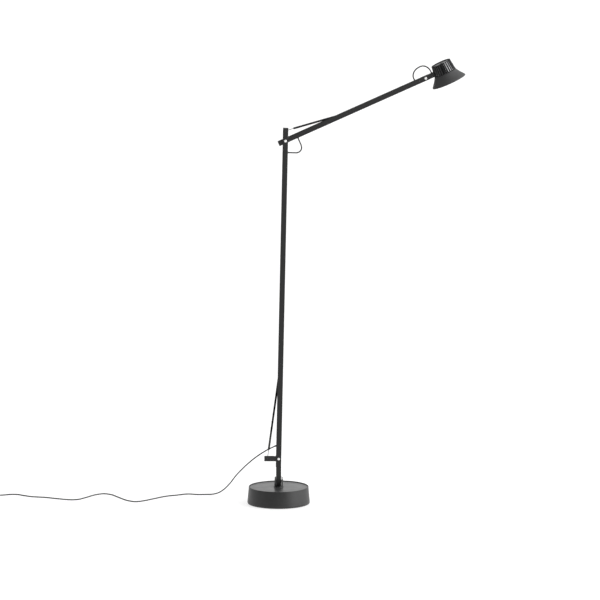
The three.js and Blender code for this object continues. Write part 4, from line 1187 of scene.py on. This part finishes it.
def make_head():
    arch = [(ARM_TOP * cos(radians(a)), ARM_TOP * sin(radians(a)))
        for a in range(90, 271, 6)]
    ends = [(SHADE_AXIS - crown_radius(z) + 0.15, z) for z in (-ARM_TOP, ARM_TOP)]
    neck = prism("neck", [*arch, *ends], -3.5, 3.5, "Y", HEAD)
    cut(neck, drill("neck_cable_hole", 2.7, -0.5, 20, HEAD @ shift(x=NECK_HOLE)))
    finish(bevelled(neck, 0.5), "neck_bar")
    collar = [(2.4, ARM_TOP + 0.1), (3.4, ARM_TOP + 0.1, 0.1), (3.2, ARM_TOP + 1, 0.3),
        (2.4, ARM_TOP + 1, 0.2)]
    finish(lathe("neck_sleeve", collar, HEAD @ shift(x=NECK_HOLE), 36), "neck_grommet")

    start = ARM_EXIT - ARM_PIVOTS
    route = [
        (start, 0, ARM_TOP + 1), (start - 0.6, 0, 18), (start + 1, 0, 26), (-35.5, 0, 34.5),
        (-26.5, 0, 42.3), (-12, 0, 47.3), (3, 0, 47.6), (14.5, 0, 42.5), (22.4, 0, 33), (26.2, 0, 22),
        (NECK_HOLE, 0, 12), (NECK_HOLE, 0, 1),
    ]
    line = evenly(curve_through(route, 10), 1.6)
    cable = dressed(tube("head_loop", line, CABLE, HEAD, 14), "cable_jacket")
    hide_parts("head_cable")
    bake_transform(cable)

    make_crown()
    cap = [(BUTTON + 0.3, CAP_TOP - 2), (RECESS - 0.3, CAP_TOP - 2),
        (RECESS - 0.3, CAP_TOP, 0.5),
        (BUTTON + 1.6, CAP_TOP, 0.3), (BUTTON + 0.9, CAP_TOP - 0.5, 0.3),
        (BUTTON + 0.3, CAP_TOP - 0.5, 0.2)]
    finish(lathe("crown_lid", cap, SHADE, 160), "crown_cap")
    button = [
        (0, 22.4), (3, 22.4), (3, 24), (9, 24, 0.3), (9, 25.7, 0.3), (BUTTON, 25.7, 0.2),
        (BUTTON, CAP_TOP + 1.3, 0.9), (BUTTON - 1.6, CAP_TOP + 1.2, 0.6),
        (BUTTON - 3.5, CAP_TOP + 0.75, 1.5), (0, CAP_TOP + 0.6),
    ]
    finish(lathe("dimmer_cap", button, SHADE, 72), "dimmer_button")
    reflector = [(11, 11.6, 0.2), (12.2, 11.6, 0.2), (18.8, 3.2, 9), (29.6, -10.4, 0.2), (28.4, -10.4, 0.2),
        (17.8, 3.2, 9)]
    finish(lathe("cup", reflector, SHADE, 96), "reflector")

    flange = CROWN_BOTTOM - 0.3
    brim = [
        (34, flange), (CROWN_WIDE, flange, 0.6), (47.6, -20, 14), (55, -31, 14), (61, -38.3, 12),
        (BRIM - 0.9, -44, 3), (BRIM, -46.2, 2), (BRIM, BRIM_BOTTOM, 0.6),
        (BRIM - 1.5, BRIM_BOTTOM, 0.4), (BRIM - 2.5, -44.6, 3), (59.4, -38.3, 12),
        (53.3, -31, 14),
        (45.8, -20, 12), (41.8, flange - 1.7, 1), (34, flange - 1.7, 0.3),
    ]
    finish(lathe("shade_brim", brim, SHADE, 192, 6), "brim")
    diffuser = [(0, flange), (33.2, flange, 0.4), (33.2, flange - 2.6, 0.5), (0, flange - 2.7)]
    finish(lathe("light_window", diffuser, SHADE, 128), "diffuser")
    ring_top = flange - 3
    ring = [(29.5, ring_top), (40, ring_top, 0.3), (40, ring_top - 2.1, 0.9), (31.2, ring_top - 2.1, 1.2),
        (29.5, ring_top - 0.9, 0.4)]
    finish(lathe("window_ring", ring, SHADE, 128), "diffuser_ring")


make_base()
make_foot()
make_mast()
make_arm()
make_head()

# ---- studio
FLOOR_GLOW = 0.66  # the floor is a lit table, so shadows on it are faint
ROOM_LEVEL = 0.1
SURROUND = (  # axis, where its light starts and is full along that axis, strength
    ("x", -0.75, -0.98, 0.4),
    ("y", 0.0, 0.9, 0.85),
    ("z", 0.5, 1.0, 0.4),
)
RIGHT_BOX = 4.2  # a tall soft box on the right, no higher than the lamp
SEEN_LEVEL = 1.01  # what the camera sees directly
OVERHEAD_LIGHT = 1.2
CROWN_LIGHT = 12.0  # watts; a strip light in front of the crown, above it and to the right
CROWN_LIGHT_SIZE = (1.3, 0.2)  # metres
CROWN_LIGHT_TOWARD = (0.76, -0.5, 0.405)
CROWN_LIGHT_DISTANCE = 0.9


def make_studio():
    """A wide pale floor, the surround, a soft light overhead and the crown's strip light."""
    half = 60
    mesh = bpy.data.meshes.new("floor")
    corners = [(-half, -half, 0), (half, -half, 0), (half, half, 0), (-half, half, 0)]
    mesh.from_pydata(corners, [], [[0, 1, 2, 3]])
    floor = placed("floor", mesh)
    paper = Shader("floor_paper", (0.42, 0.42, 0.42), 0.9, Specular_IOR_Level=0.05,
        Emission_Strength=FLOOR_GLOW)
    mottle = paper.noise(0.4, 3)
    paper.colour(paper.mixed(paper.spread(mottle, 0, 1), (0.417, 0.417, 0.417), (0.423, 0.423, 0.423)))
    floor.data.materials.append(paper.material)

    make_surround()
    make_crown_light()
    data = bpy.data.lights.new("overhead", "SUN")
    data.energy = OVERHEAD_LIGHT
    data.angle = radians(110)
    light = placed("overhead", data)
    light.rotation_euler = Vector((0.1, 0.25, 1)).to_track_quat("Z", "Y").to_euler()


def make_crown_light():
    """Its reflection runs down the fins on the crown's right half."""
    data = bpy.data.lights.new("crown_light", "AREA")
    data.shape = "RECTANGLE"
    data.size, data.size_y = CROWN_LIGHT_SIZE
    data.energy = CROWN_LIGHT
    light = placed("crown_light", data)
    light.visible_camera = False
    toward = Vector(CROWN_LIGHT_TOWARD).normalized()
    side = Vector((0, 0, 1)).cross(toward).normalized()
    turn = Matrix((side, toward.cross(side), toward)).transposed().to_4x4()
    light.matrix_world = Matrix.Translation(SHADE.translation + toward * CROWN_LIGHT_DISTANCE) @ turn


def make_surround():
    """A dark room in front, a white paper sweep behind, and large soft boxes on the right and above.
    What the camera sees directly stays plain white."""
    world = bpy.data.worlds.new("studio")
    bpy.context.scene.world = world
    world.use_nodes = True
    nodes, links = world.node_tree.nodes, world.node_tree.links
    background, output = nodes["Background"], nodes["World Output"]
    background.inputs["Color"].default_value = (1, 1, 1, 1)

    def number(value):
        made = nodes.new("ShaderNodeValue")
        made.outputs[0].default_value = value
        return made.outputs[0]

    def ramp(value, start, end):
        made = nodes.new("ShaderNodeMapRange")
        made.interpolation_type = "SMOOTHSTEP"
        links.new(value, made.inputs["Value"])
        made.inputs["From Min"].default_value = start
        made.inputs["From Max"].default_value = end
        return made.outputs["Result"]

    def maths(operation, a, b):
        made = nodes.new("ShaderNodeMath")
        made.operation = operation
        links.new(a, made.inputs[0])
        links.new(b, made.inputs[1])
        return made.outputs[0]

    place = nodes.new("ShaderNodeTexCoord")
    split = nodes.new("ShaderNodeSeparateXYZ")
    links.new(place.outputs["Generated"], split.inputs[0])
    x, y, z = split.outputs
    level = number(ROOM_LEVEL)
    for value, start, end, strength in SURROUND:
        part = ramp({"x": x, "y": y, "z": z}[value], start, end)
        level = maths("ADD", level, maths("MULTIPLY", part, number(strength)))
    beside = ramp(x, 0.5, 0.8)
    within = maths("MULTIPLY", ramp(z, 0.75, 0.4), ramp(y, 0.9, -0.5))
    box_light = maths("MULTIPLY", maths("MULTIPLY", beside, within), number(RIGHT_BOX))
    links.new(maths("ADD", level, box_light), background.inputs["Strength"])

    seen = nodes.new("ShaderNodeBackground")
    seen.inputs["Color"].default_value = (1, 1, 1, 1)
    seen.inputs["Strength"].default_value = SEEN_LEVEL
    path = nodes.new("ShaderNodeLightPath")
    mix = nodes.new("ShaderNodeMixShader")
    links.new(path.outputs["Is Camera Ray"], mix.inputs[0])
    links.new(background.outputs[0], mix.inputs[1])
    links.new(seen.outputs[0], mix.inputs[2])
    links.new(mix.outputs[0], output.inputs["Surface"])


make_studio()
bpy.context.scene.view_settings.view_transform = "Standard"
